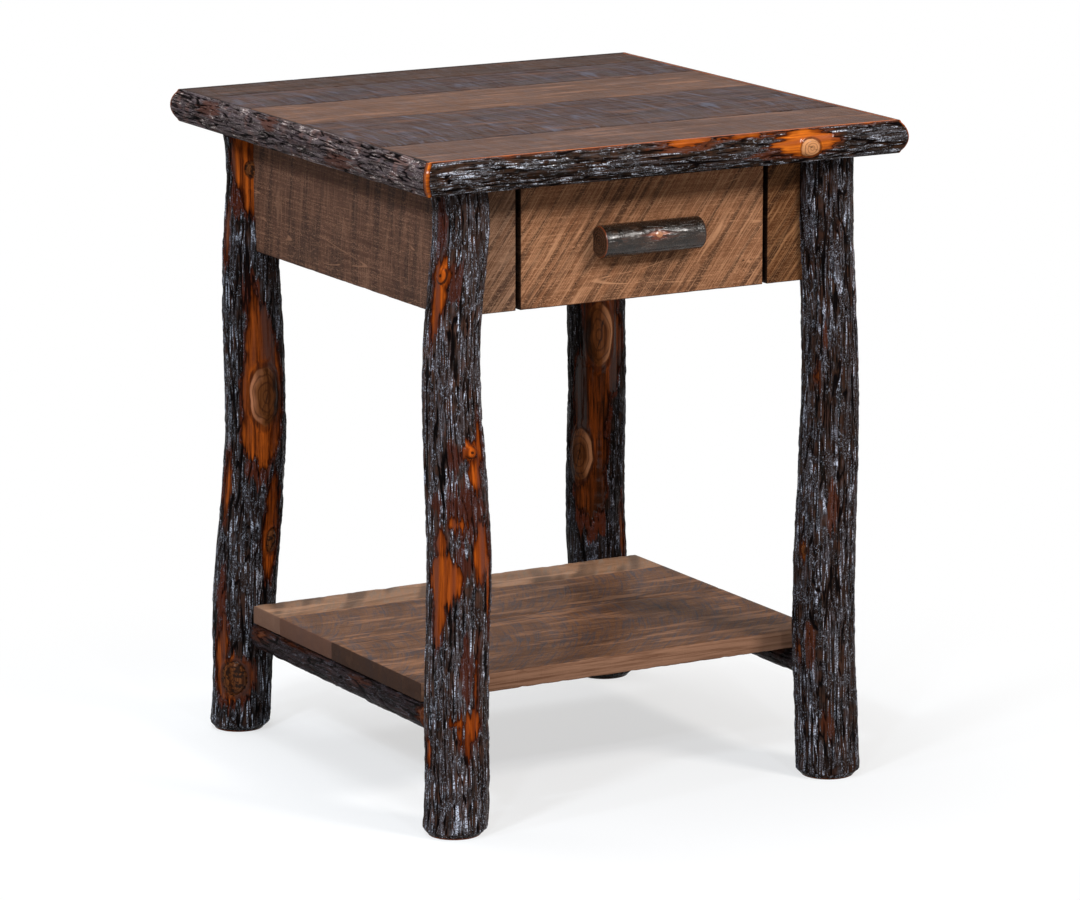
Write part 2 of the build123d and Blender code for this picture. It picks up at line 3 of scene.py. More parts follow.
import bpy
import numpy as np
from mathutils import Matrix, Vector, noise
from mathutils.bvhtree import BVHTree


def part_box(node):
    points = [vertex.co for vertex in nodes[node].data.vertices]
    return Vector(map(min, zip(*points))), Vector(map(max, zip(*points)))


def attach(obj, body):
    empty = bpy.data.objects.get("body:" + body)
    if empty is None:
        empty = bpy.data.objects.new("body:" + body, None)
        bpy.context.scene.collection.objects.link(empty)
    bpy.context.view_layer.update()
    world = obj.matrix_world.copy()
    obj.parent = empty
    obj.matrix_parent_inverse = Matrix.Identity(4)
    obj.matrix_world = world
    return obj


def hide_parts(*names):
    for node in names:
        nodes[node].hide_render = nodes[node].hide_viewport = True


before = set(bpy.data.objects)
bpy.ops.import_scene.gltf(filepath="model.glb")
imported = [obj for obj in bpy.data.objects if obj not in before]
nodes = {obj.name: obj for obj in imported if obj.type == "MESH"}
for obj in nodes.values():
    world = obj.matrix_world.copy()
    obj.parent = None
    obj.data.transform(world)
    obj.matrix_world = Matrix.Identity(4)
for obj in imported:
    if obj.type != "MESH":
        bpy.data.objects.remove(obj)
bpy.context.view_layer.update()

mm = 0.001
scene = bpy.context.scene

# ------------------------------------------------------------------------------ studio
# A long lens from the front left and a little above, a pale floor and soft boxes. What the camera
# and polished things see of the world is white, and its light on the table is weaker.
view_turn = radians(-29.69)
view_tilt = radians(12.40)
view_target = Vector((-41.7, -88.9, 355.6)) * mm
view_distance = 5789 * mm
view_lens = 181.83
fill_light = 0.20
floor_near = 0.25
floor_far = 0.85

camera_data = bpy.data.cameras.new("camera")
camera_data.lens = view_lens
camera_data.sensor_width = 36
camera_data.clip_end = 50
camera = bpy.data.objects.new("camera", camera_data)
scene.collection.objects.link(camera)
scene.camera = camera
towards_viewer = Vector((
    sin(view_turn) * cos(view_tilt),
    -cos(view_turn) * cos(view_tilt),
    sin(view_tilt),
))
camera.location = view_target + towards_viewer * view_distance
camera.rotation_euler = (pi / 2 - view_tilt, 0, view_turn)


def soft_box(name, place, aim_at, size, power, colour):
    data = bpy.data.lights.new(name, "AREA")
    data.shape = "RECTANGLE"
    data.size, data.size_y = size
    data.energy = power
    data.color = colour
    lamp = bpy.data.objects.new(name, data)
    lamp.location = place
    lamp.rotation_euler = (Vector(aim_at) - Vector(place)).to_track_quat("-Z", "Y").to_euler()
    scene.collection.objects.link(lamp)


soft_box("key", (1.2, -2.6, 2.5), (0, 0, 0.4), (0.7, 0.7), 76, (1.0, 0.96, 0.92))
soft_box("left", (-2.6, -1.5, 2.3), (0, 0, 0.4), (0.4, 0.4), 54, (0.84, 0.92, 1.0))
soft_box("top", (-0.3, 0.6, 2.6), (0, 0, 0.5), (1.4, 1.4), 44, (0.92, 0.96, 1.0))
soft_box("glint_left", (-2.0, -2.4, 2.2), (0, 0, 0.4), (0.14, 0.14), 20, (0.78, 0.88, 1.0))
soft_box("glint_front", (-0.4, -3.1, 2.4), (0, 0, 0.4), (0.14, 0.14), 20, (0.85, 0.92, 1.0))
soft_box("glint_side", (-2.6, -0.6, 2.4), (0, 0, 0.4), (0.14, 0.14), 16, (0.78, 0.88, 1.0))


class Maker:
    """Short names for building a node tree."""

    def __init__(self, tree):
        self.tree = tree

    def add(self, kind, **values):
        node = self.tree.nodes.new(kind)
        for name, value in values.items():
            setattr(node, name, value)
        return node

    def link(self, source, target):
        self.tree.links.new(source, target)

    def put(self, value, target):
        """Sets a socket to a number or colour, or links another node's output to it."""
        if isinstance(value, bpy.types.NodeSocket):
            self.link(value, target)
        elif isinstance(value, tuple) and target.type == "RGBA":
            target.default_value = (*value[:3], 1)
        else:
            target.default_value = value

    def math(self, operation, a, b=0.0):
        node = self.add("ShaderNodeMath", operation=operation)
        self.put(a, node.inputs[0])
        self.put(b, node.inputs[1])
        return node.outputs[0]

    def times(self, a, b):
        return self.math("MULTIPLY", a, b)

    def plus(self, a, b):
        return self.math("ADD", a, b)

    def minus(self, a, b):
        return self.math("SUBTRACT", a, b)

    def larger(self, a, b):
        return self.math("MAXIMUM", a, b)

    def vector(self, operation, a, b=(0, 0, 0)):
        node = self.add("ShaderNodeVectorMath", operation=operation)
        self.put(a, node.inputs[0])
        self.put(b, node.inputs[1])
        return node.outputs["Value" if operation in ("LENGTH", "DOT_PRODUCT") else "Vector"]

    def scaled(self, vector, scale):
        return self.vector("MULTIPLY", vector, scale)

    def mix(self, share, a, b, blend="MIX"):
        node = self.add("ShaderNodeMix", data_type="RGBA", blend_type=blend)
        self.put(share, node.inputs[0])
        self.put(a, node.inputs[6])
        self.put(b, node.inputs[7])
        return node.outputs[2]

    def toned(self, colour, shares):
        """A colour with its red, green and blue each scaled by a share."""
        return self.mix(1.0, colour, shares, "MULTIPLY")

    def steps(self, value, low, high, start=0.0, end=1.0):
        """From start, below low, to end, above high."""
        node = self.add("ShaderNodeMapRange", interpolation_type="SMOOTHSTEP")
        self.put(value, node.inputs["Value"])
        self.put(low, node.inputs["From Min"])
        self.put(high, node.inputs["From Max"])
        self.put(start, node.inputs["To Min"])
        self.put(end, node.inputs["To Max"])
        return node.outputs["Result"]

    def speckle(self, vector, detail=3.0, roughness=0.55, distortion=0.0):
        """Noise from 0 to 1, with lumps one unit of the vector in size."""
        node = self.add("ShaderNodeTexNoise")
        node.inputs["Scale"].default_value = 1.0
        node.inputs["Detail"].default_value = detail
        node.inputs["Roughness"].default_value = roughness
        node.inputs["Distortion"].default_value = distortion
        self.link(vector, node.inputs["Vector"])
        return node.outputs["Fac"]

    def threads(self, vector, level, width, detail=2.0, distortion=0.8):
        """Thin winding lines, 1 along the middle of each and 0 between them."""
        field = self.speckle(vector, detail, 0.5, distortion)
        off = self.math("ABSOLUTE", self.minus(field, level))
        return self.steps(off, 0.35 * width, width, 1.0, 0.0)

    def attribute(self, name):
        return self.add("ShaderNodeAttribute", attribute_name=name).outputs["Fac"]

    def group(self, tree, **values):
        """Places a node group and sets its inputs by name."""
        node = self.add("ShaderNodeGroup")
        node.node_tree = tree
        for name, value in values.items():
            self.put(value, node.inputs[name])
        return node.outputs


world = bpy.data.worlds.new("studio")
scene.world = world
world.use_nodes = True
maker = Maker(world.node_tree)
path = maker.add("ShaderNodeLightPath").outputs
seen = maker.larger(path["Is Camera Ray"], path["Is Transmission Ray"])
seen = maker.larger(seen, path["Is Glossy Ray"])
background = world.node_tree.nodes["Background"]
background.inputs["Color"].default_value = (1, 1, 1, 1)
maker.link(maker.steps(seen, 0.0, 1.0, fill_light, 1.0), background.inputs["Strength"])

# The floor shows its shade round the feet and runs out into the white background.
bpy.ops.mesh.primitive_plane_add(size=60, location=(0, 0, 0))
floor = bpy.context.object
floor.name = "floor"
floor_material = bpy.data.materials.new("pale_floor")
floor_material.use_nodes = True
maker = Maker(floor_material.node_tree)
shader = floor_material.node_tree.nodes["Principled BSDF"]
shader.inputs["Roughness"].default_value = 1.0
shader.inputs["Specular IOR Level"].default_value = 0.0
glow = maker.add("ShaderNodeEmission")
glow.inputs["Color"].default_value = (1, 1, 1, 1)
path = maker.add("ShaderNodeLightPath").outputs
seen = maker.larger(path["Is Camera Ray"], path["Is Glossy Ray"])
grey = maker.mix(seen, (0.40, 0.40, 0.40), (0.86, 0.86, 0.86))
maker.link(grey, shader.inputs["Base Color"])
from_middle = maker.vector("LENGTH", maker.add("ShaderNodeTexCoord").outputs["Object"])
run_out = maker.steps(from_middle, floor_near, floor_far, 0.62, 1.0)
blend = maker.add("ShaderNodeMixShader")
maker.link(maker.times(seen, run_out), blend.inputs["Fac"])
maker.link(shader.outputs["BSDF"], blend.inputs[1])
maker.link(glow.outputs["Emission"], blend.inputs[2])
output = floor_material.node_tree.nodes["Material Output"]
maker.link(blend.outputs["Shader"], output.inputs["Surface"])
floor.data.materials.append(floor_material)

scene.view_settings.view_transform = "Standard"

# ------------------------------------------------------------------------------ log legs
# Four hickory logs with their bark on, lacquered. Bark has come off in ragged patches that show
# the orange wood, often round a knot. The sawn foot is chamfered.
bud = 0
# On these two kinds, one side of the scar has a painted highlight and the other painted shade.
highlit_left = 1
highlit_right = -1
sawn_off = 2
dark_scar = 3
leg_facets = 176
leg_row = 1.4
leg_plate = (5.5, 110)
leg_furrow = 1.5
leg_grain = (330, 330, 15)
foot_chamfer = 2.6
foot_fade = (0.5, 9)
bark_thickness = 2.2
all_bare = 3.0
off_mark = 2.0


def lump(points, size, octaves=2, seed=0.0):
    """Smooth noise of about -1 to 1 at each point, with lumps of the given size."""
    places = points.reshape(-1, 3) / np.array(size) + seed
    values = [noise.fractal(place, 1.0, 2.0, octaves) for place in places.tolist()]
    return np.array(values).reshape(points.shape[:-1])


def smooth(value, low, high):
    t = np.clip((value - low) / (high - low), 0, 1)
    return t * t * (3 - 2 * t)


def plates(points, size, seed):
    """Bark plates: distance from the nearest crack, and a number of its own for each plate."""
    gap = []
    tone = []
    for place in (points.reshape(-1, 3) / np.array(size) + seed).tolist():
        distances, centres = noise.voronoi(place)
        gap.append(distances[1] - distances[0])
        tone.append(noise.cell(centres[0] * 7.3))
    return np.array(gap).reshape(points.shape[:-1]), np.array(tone).reshape(points.shape[:-1])


def swing_from(around, angle):
    """How far round a log each point is from an angle in degrees, in radians."""
    return (around - radians(angle) + pi) % tau - pi


def spots(along, around, radius, marks, fingers):
    """Distance inside the nearest mark, in mm. A mark: height, angle, half height, half width."""
    roundness = 1.7
    inside = np.full(along.shape, -30.0)
    for height, angle, half_height, half_width in marks:
        across = np.abs(swing_from(around, angle)) * radius
        rise = np.abs(along - height)
        squared = (across / half_width) ** roundness
        squared += (np.maximum(rise + fingers, 0) / half_height) ** roundness
        reach = squared ** (1 / roundness)
        inside = np.maximum(inside, (1 - reach) * min(half_height, half_width))
    return inside


def dress_log(along, around, radius, seed, plate, depth, bare=(), rust=(), knots=(), sanded=-9.0):
    """How far bark, bare wood and knots stand out from a log, in mm, and their masks.

    seed gives each log a bark of its own, plate is the size of a bark plate across and along, and
    depth is how deep the furrows are. bare, rust and knots are marks. sanded is above 0 where the
    bark is sanded off.
    """
    points = np.stack([radius * np.cos(around), radius * np.sin(around), along], axis=-1)
    wander = np.stack([lump(points, (14, 14, 55), 1, seed + k) for k in (3, 7, 11)], axis=-1)
    swayed = points + wander * np.array([3.4, 3.4, 6.0])
    gap, tone = plates(swayed, (plate[0], plate[0], plate[1]), seed)
    rope = np.sqrt(np.clip(gap / 0.20, 0, 1))
    swell = lump(swayed, (0.6 * plate[0], 0.6 * plate[0], 0.5 * plate[1]), 2, seed + 20)
    fine = lump(points, (1.7, 1.7, 14), 2, seed + 31)
    lip = np.exp(-(((gap - 0.26) / 0.08) ** 2)) * smooth(tone, -0.6, -0.1)
    crest = lip * smooth(lump(points, (6, 6, 30), 2, seed + 27), -0.25, 0.1)
    crest = np.maximum(crest, smooth(swell, 0.34, 0.5) * 0.6)
    bark = depth * (rope - 1.25 + 0.25 * tone + 0.40 * swell + 0.18 * fine + 0.45 * crest)
    fingers = 13 * lump(points, (2.4, 2.4, 60), 2, seed + 40)
    fingers += 4 * np.abs(lump(points, (1.4, 1.4, 30), 1, seed + 44))
    edge = 2.0 * lump(points, (5, 5, 12), 2, seed + 50)
    peel = np.maximum(spots(along, around, radius, bare, fingers) + edge, sanded)
    blush = np.maximum(spots(along, around, radius, rust, fingers * 1.6) + edge, peel + 2.0)
    wood = -bark_thickness + 0.35 * lump(points, (4, 4, 40), 2, seed + 60)
    share = smooth(peel, -0.6, 0.7)
    height = bark * (1 - share) + wood * share
    rings = np.full(along.shape, off_mark)
    rim = np.zeros(along.shape)
    heart_and_shade = np.zeros(along.shape)
    for knot_height, angle, half_height, half_width, rise, kind in knots:
        across = swing_from(around, angle) * radius / half_width
        up = (along - knot_height) / half_height
        stain = lump(points, (9, 9, 14), 1, seed + angle)
        reach = np.sqrt(across**2 + up**2) * (1 + 0.08 * stain)
        near = 1 - smooth(reach, 1.0, 1.35)
        collar = 0.30 * rise * np.exp(-(((reach - 1.0) / 0.16) ** 2))
        crease = -0.7 * np.exp(-(((reach - 0.86) / 0.06) ** 2)) * abs(kind)
        dome = rise * (1 - smooth(reach, 0.45, 1.05)) + collar + crease
        height = height * (1 - near) + (wood + dome) * near
        peel = np.maximum(peel, (1.12 - reach) * half_width)
        if kind == bud:
            open_side = smooth(np.cos(np.arctan2(up, across) + 2.3) + 0.4 * stain, -0.8, 0.0)
            ring = np.exp(-(((reach - 0.78) / 0.15) ** 2)) * open_side
            heart_and_shade = np.maximum(heart_and_shade, np.maximum(ring, smooth(reach, 0.30, 0.12)))
            continue
        rings = np.minimum(rings, reach)
        if kind == sawn_off:
            pale_and_lit, crack_width, dark = 1.0, 0.10, 0.0
        else:
            # Lit from one side: a painted highlight on the rim there, painted shade on the far side.
            pale_and_lit = smooth(across * kind + 0.3 * stain, 0.05, 0.85) * smooth(reach, 0.42, 0.80)
            crack_width = 0.06
            dark = smooth(across * kind - 0.3 * stain, -0.10, -0.75) * 0.8
        if kind == dark_scar:
            pale_and_lit = 0.0
            dark = smooth(lump(points, (4, 4, 3), 2, seed + angle), -0.15, 0.25)
        rim = np.maximum(rim, pale_and_lit * smooth(reach, 0.98, 0.84))
        crack = np.exp(-(((across + 0.45 * up + 0.15 * stain) / crack_width) ** 2))
        dark = np.maximum(crack * smooth(reach, 0.75, 0.35) * 0.8, dark)
        heart_and_shade = np.maximum(heart_and_shade, dark * near * smooth(reach, 1.0, 0.9))
    # peel and blush are mm inside a patch, and rings and end are 1 at the rim of a knot or end.
    masks = {
        "relief": smooth(bark / depth, -1.2, -0.2),
        "crest": crest * smooth(fine, -0.6, 0.1),
        "tone": tone * 0.5 + 0.5,
        "peel": peel,
        "blush": blush,
        "rings": rings,
        "rim": rim,
        "heart_and_shade": heart_and_shade,
        "end": np.full(along.shape, off_mark),
    }
    return height, masks


def skin(name, points, masks):
    """A piece whose skin is a stack of rings of points, in mm, closed at both ends."""
    rows, columns = points.shape[0] - 1, points.shape[1] - 1
    bpy.ops.object.select_all(action="DESELECT")
    bpy.ops.mesh.primitive_grid_add(x_subdivisions=columns, y_subdivisions=rows, size=1)
    piece = bpy.context.object
    piece.name = name
    places = np.empty(len(piece.data.vertices) * 3)
    piece.data.vertices.foreach_get("co", places)
    across, along = places.reshape(-1, 3)[:, :2].T + 0.5
    column = np.rint(across * columns).astype(int)
    row = np.rint(along * rows).astype(int)
    piece.data.vertices.foreach_set("co", (points[row, column] * mm).ravel())
    for mask, values in masks.items():
        layer = piece.data.attributes.new(mask, "FLOAT", "POINT")
        layer.data.foreach_set("value", values[row, column])
    bpy.ops.object.mode_set(mode="EDIT")
    bpy.ops.mesh.select_all(action="SELECT")
    bpy.ops.mesh.remove_doubles(threshold=0.00002)
    bpy.ops.mesh.fill_holes(sides=0)
    bpy.ops.mesh.select_all(action="SELECT")
    bpy.ops.mesh.normals_make_consistent(inside=False)
    bpy.ops.object.mode_set(mode="OBJECT")
    bpy.ops.object.shade_smooth_by_angle(angle=radians(50))
    return piece


def measure_log(node, heights, outward):
    """Heart and radius of a leg at each height, from a circle through its outer side.

    The inner side isn't used, because the boards are let into it.
    """
    tree = BVHTree.FromObject(nodes[node], bpy.context.evaluated_depsgraph_get())
    low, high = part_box(node)
    middle = (low + high) / 2
    hearts = []
    for height in heights:
        hits = []
        for turn in (-60, -35, -10, 10, 35, 60):
            away = Vector((-sin(outward + radians(turn)), -cos(outward + radians(turn)), 0))
            start = Vector((middle.x, middle.y, height * mm)) + away * 0.1
            hits.append(tree.ray_cast(start, -away)[0] / mm)
        rows = np.array([[2 * hit.x, 2 * hit.y, 1] for hit in hits])
        squares = np.array([hit.x**2 + hit.y**2 for hit in hits])
        x, y, rest = np.linalg.lstsq(rows, squares, rcond=None)[0]
        hearts.append((x, y, (rest + x * x + y * y) ** 0.5))
    return np.array(hearts).T


def new_group(name, inputs, outputs):
    """An empty node group with these sockets, and what is needed to fill it."""
    tree = bpy.data.node_groups.new(name, "ShaderNodeTree")
    for direction, sockets in (("INPUT", inputs), ("OUTPUT", outputs)):
        for socket_name, kind in sockets.items():
            tree.interface.new_socket(
                name=socket_name, in_out=direction, socket_type="NodeSocket" + kind
            )
    maker = Maker(tree)
    source = maker.add("NodeGroupInput").outputs
    target = maker.add("NodeGroupOutput").inputs
    return tree, maker, source, target


def new_material(name, outputs_of, ior, bump_depth, bump=0.6):
    """A material whose colour, roughness, coat and height come from a node group's outputs.

    The coat is weaker where the surface is seen at a slant, as in the furrows of a log's sides.
    """
    material = bpy.data.materials.new(name)
    material.use_nodes = True
    maker = Maker(material.node_tree)
    shader = material.node_tree.nodes["Principled BSDF"]
    outputs = outputs_of(maker)
    maker.link(outputs["Color"], shader.inputs["Base Color"])
    maker.link(outputs["Roughness"], shader.inputs["Roughness"])
    shader.inputs["IOR"].default_value = ior
    if "Coat" in outputs:
        facing = maker.add("ShaderNodeLayerWeight").outputs["Facing"]
        coat = maker.times(outputs["Coat"], maker.steps(facing, 0.35, 0.80, 1.0, 0.15))
        maker.link(coat, shader.inputs["Coat Weight"])
        shader.inputs["Coat IOR"].default_value = 1.55
        shader.inputs["Coat Roughness"].default_value = 0.15
    relief = maker.add("ShaderNodeBump")
    relief.inputs["Distance"].default_value = bump_depth * mm
    relief.inputs["Strength"].default_value = bump
    maker.link(outputs["Height"], relief.inputs["Height"])
    maker.link(relief.outputs["Normal"], shader.inputs["Normal"])
    return material


def bark_group():
    """Lacquered bark, inner bark, bare wood and knots, from the masks of dress_log."""
    dust_scale = (700, 700, 700)
    patch_scale = (60, 60, 60)
    wet_scale = (24, 24, 14)
    knot_rings = 26.0
    end_rings = 30.0
    colours = ("Dark", "Ridge", "Rust", "Wood Light", "Wood Deep", "Rim", "End Light", "End Deep")
    tree, maker, source, target = new_group(
        "lacquered_bark",
        {
            "Grain": "Vector",
            "Wrinkle": "Vector",
            "Gloss": "Float",
            "Lacquer": "Float",
            **{name: "Color" for name in colours},
        },
        {"Color": "Color", "Roughness": "Float", "Coat": "Float", "Height": "Float"},
    )
    mix, steps, times, plus, minus = maker.mix, maker.steps, maker.times, maker.plus, maker.minus
    place = maker.add("ShaderNodeTexCoord").outputs["Object"]
    streak_place = maker.scaled(place, source["Grain"])
    streak = maker.speckle(streak_place, 4.0, 0.6)
    broad = maker.speckle(maker.scaled(streak_place, (0.25, 0.25, 0.25)), 2.0)
    fine_speckle = maker.speckle(maker.scaled(place, dust_scale), 2.0)
    relief = maker.attribute("relief")
    tone = maker.attribute("tone")
    # Bark: black cracks, brown plates, and thin beaded ridges that are glossy. Their pale colour is
    # partly the worn crests of the bark and partly painted glints and sheen.
    wide_place = maker.scaled(streak_place, (0.42, 0.42, 0.42))
    shifted = maker.vector("ADD", wide_place, (31, 17, 53))
    cracks = maker.threads(shifted, 0.5, 0.030)
    ridges = maker.threads(wide_place, 0.52, 0.034)
    patchy = maker.speckle(maker.scaled(place, patch_scale), 2.0)
    short_place = maker.scaled(place, source["Wrinkle"])
    wrinkles = maker.threads(short_place, 0.5, 0.030, 2.0, 1.6)
    wrinkles = times(wrinkles, steps(patchy, 0.56, 0.40, 0.0, 0.55))
    ridges = times(ridges, steps(patchy, 0.44, 0.60, 0.06, 1.0))
    ridges = maker.larger(ridges, wrinkles)
    ridges = times(ridges, steps(relief, 0.3, 0.7))
    painted_sparkle = steps(fine_speckle, 0.42, 0.62, 0.10, 1.0)
    dim = maker.toned(source["Dark"], (0.34, 0.27, 0.23))
    warm = maker.toned(source["Dark"], (1.7, 1.25, 1.0))
    plate = mix(steps(streak, 0.34, 0.62), dim, source["Dark"])
    plate = mix(steps(patchy, 0.50, 0.66, 0.0, 0.7), plate, warm)
    plate = mix(times(tone, 0.45), plate, dim)
    # A faint painted sheen of the pale ridge colour on the crests.
    crest = times(maker.attribute("crest"), steps(fine_speckle, 0.30, 0.55, 0.2, 1.0))
    plate = mix(times(crest, 0.10), plate, source["Ridge"])
    plate = mix(times(cracks, 0.85), plate, (0.004, 0.003, 0.002))
    # Painted glints: the pale ridge colour laid in beads along the ridges.
    plate = mix(times(ridges, painted_sparkle), plate, source["Ridge"])
    # Near black in the deepest furrows: painted shade.
    bark = mix(steps(relief, 0.10, 0.62), (0.003, 0.002, 0.002), plate)
    blush = times(steps(maker.attribute("blush"), -1.0, 2.0), 0.8)
    # The furrows of the inner bark are darkened too: painted shade.
    rust = mix(steps(relief, 0.1, 0.7), (0.010, 0.003, 0.002), source["Rust"])
    bark = mix(blush, bark, rust)
    # Bare wood: orange with deeper streaks and a burnt margin.
    wood = mix(steps(streak, 0.3, 0.72), source["Wood Deep"], source["Wood Light"])
    wood = mix(steps(broad, 0.44, 0.62, 0.0, 0.9), wood, source["Wood Deep"])
    burnt = maker.toned(source["Wood Deep"], (0.42, 0.36, 0.36))
    margin = plus(maker.attribute("peel"), times(broad, 5.0))
    wood = mix(steps(margin, 2.0, 7.5, 1.0, 0.0), wood, burnt)
    # Knots: a smooth brown scar with a paler rim, a dark heart and a dark crease round it. On a scar
    # lit from one side, the rim there is a painted highlight, and painted shade darkens the other
    # side.
    rings = maker.attribute("rings")
    knot = mix(steps(streak, 0.34, 0.62), (0.055, 0.016, 0.005), (0.150, 0.048, 0.014))
    knot = mix(maker.attribute("rim"), knot, source["Rim"])
    growth = times(plus(rings, times(broad, 0.25)), knot_rings)
    growth = steps(maker.math("SINE", growth), 0.45, 1.0, 0.0, 0.55)
    knot = mix(growth, knot, (0.035, 0.010, 0.004))
    wood = mix(steps(rings, 0.84, 0.98, 1.0, 0.0), wood, knot)
    heart_and_shade = plus(maker.attribute("heart_and_shade"), steps(streak, 0.3, 0.7, -0.25, 0.25))
    wood = mix(steps(heart_and_shade, 0.35, 0.85, 0.0, 0.9), wood, (0.014, 0.007, 0.005))
    crease = times(steps(rings, 0.84, 0.95), steps(rings, 1.12, 1.0))
    wood = mix(times(crease, 0.55), wood, (0.030, 0.009, 0.005))
    fray = times(minus(streak, 0.5), 2.4)
    peel = plus(maker.attribute("peel"), fray)
    colour = mix(steps(peel, 0.0, 0.25), bark, (0.016, 0.005, 0.003))
    colour = mix(steps(peel, 0.35, 0.9), colour, wood)
    # Sawn ends: brown growth rings.
    end = maker.attribute("end")
    growth = times(plus(end, times(broad, 0.06)), end_rings)
    growth = steps(maker.math("SINE", growth), -1.0, 1.0)
    sawn = mix(growth, source["End Deep"], source["End Light"])
    colour = mix(steps(end, 1.0, 1.02, 1.0, 0.0), colour, sawn)
    maker.link(colour, target["Color"])
    # Roughness, and the lacquer: thick on the ridges and bare wood, nearly none in the furrows.
    rough = plus(source["Gloss"], steps(fine_speckle, 0.35, 0.75, 0.0, 0.22))
    rough = minus(rough, times(crest, 0.08))
    maker.link(rough, target["Roughness"])
    glints = times(ridges, steps(fine_speckle, 0.50, 0.62, 0.15, 1.0))
    glints = maker.larger(glints, times(crest, 0.15))
    area = maker.speckle(maker.scaled(place, wet_scale), 1.0)
    glints = times(glints, steps(area, 0.42, 0.58, 0.4, 1.0))
    film = times(steps(relief, 0.45, 0.95), steps(area, 0.50, 0.66, 0.0, 0.06))
    film = maker.larger(film, glints)
    wet = steps(broad, 0.48, 0.62, 0.0, 0.32)
    wet = times(wet, steps(rings, 0.6, 1.1, 0.3, 1.0))
    film = plus(film, times(minus(wet, film), steps(peel, 0.0, 0.6)))
    maker.link(times(film, source["Lacquer"]), target["Coat"])
    # Relief too fine for the mesh.
    cells = maker.speckle(maker.scaled(streak_place, (1.1, 1.1, 1.1)), 1.0)
    bare = steps(peel, 0.0, 1.0, 1.0, 0.25)
    grit = plus(times(fine_speckle, 0.6), times(cells, 0.5))
    grit = plus(grit, times(ridges, 0.8))
    grit = minus(grit, times(cracks, 0.8))
    grit = times(grit, bare)
    maker.link(plus(times(streak, 0.5), grit), target["Height"])
    return tree


lacquered_bark = bark_group()


def bark_finish(name, grain, wrinkle, gloss, bump_depth, lacquer=0.9, ior=1.06, **colours):
    """A finish of lacquered bark. grain and wrinkle: how many streaks and wrinkles in a metre."""
    looks = {key.replace("_", " ").title(): colour for key, colour in colours.items()}
    looks = {"End Light": (0.10, 0.050, 0.030), "End Deep": (0.035, 0.018, 0.012), **looks}

    def outputs_of(maker):
        return maker.group(
            lacquered_bark, Grain=grain, Wrinkle=wrinkle, Gloss=gloss, Lacquer=lacquer, **looks
        )

    return new_material(name, outputs_of, ior, bump_depth)


# The colours of each leg. Those of the back legs, the back right one most, are darkened: painted
# shade.
leg_looks_and_shade = {
    "leg_front_left": {
        "wrinkle": (210, 210, 60), "gloss": 0.13, "bump_depth": 0.8,
        "dark": (0.050, 0.030, 0.024), "ridge": (0.66, 0.70, 0.82), "rust": (0.060, 0.013, 0.006),
        "wood_light": (0.50, 0.095, 0.008), "wood_deep": (0.14, 0.024, 0.004),
        "rim": (0.50, 0.16, 0.03),
    },
    "leg_front_right": {
        "wrinkle": (230, 230, 110), "gloss": 0.13, "bump_depth": 0.9,
        "dark": (0.033, 0.019, 0.014), "ridge": (0.58, 0.61, 0.72), "rust": (0.070, 0.018, 0.007),
        "wood_light": (0.34, 0.085, 0.014), "wood_deep": (0.10, 0.024, 0.006),
        "rim": (0.36, 0.13, 0.04),
    },
    "leg_back_left": {
        "wrinkle": (210, 210, 80), "gloss": 0.12, "bump_depth": 0.8,
        "dark": (0.026, 0.016, 0.013), "ridge": (0.54, 0.58, 0.68), "rust": (0.080, 0.016, 0.006),
        "wood_light": (0.48, 0.096, 0.010), "wood_deep": (0.058, 0.011, 0.003),
        "rim": (0.44, 0.170, 0.080),
    },
    "leg_back_right": {
        "wrinkle": (210, 210, 80), "gloss": 0.16, "bump_depth": 0.6,
        "dark": (0.013, 0.008, 0.006), "ridge": (0.16, 0.17, 0.21), "rust": (0.060, 0.012, 0.004),
        "wood_light": (0.24, 0.050, 0.008), "wood_deep": (0.016, 0.005, 0.002),
        "rim": (0.34, 0.150, 0.070),
    },
}

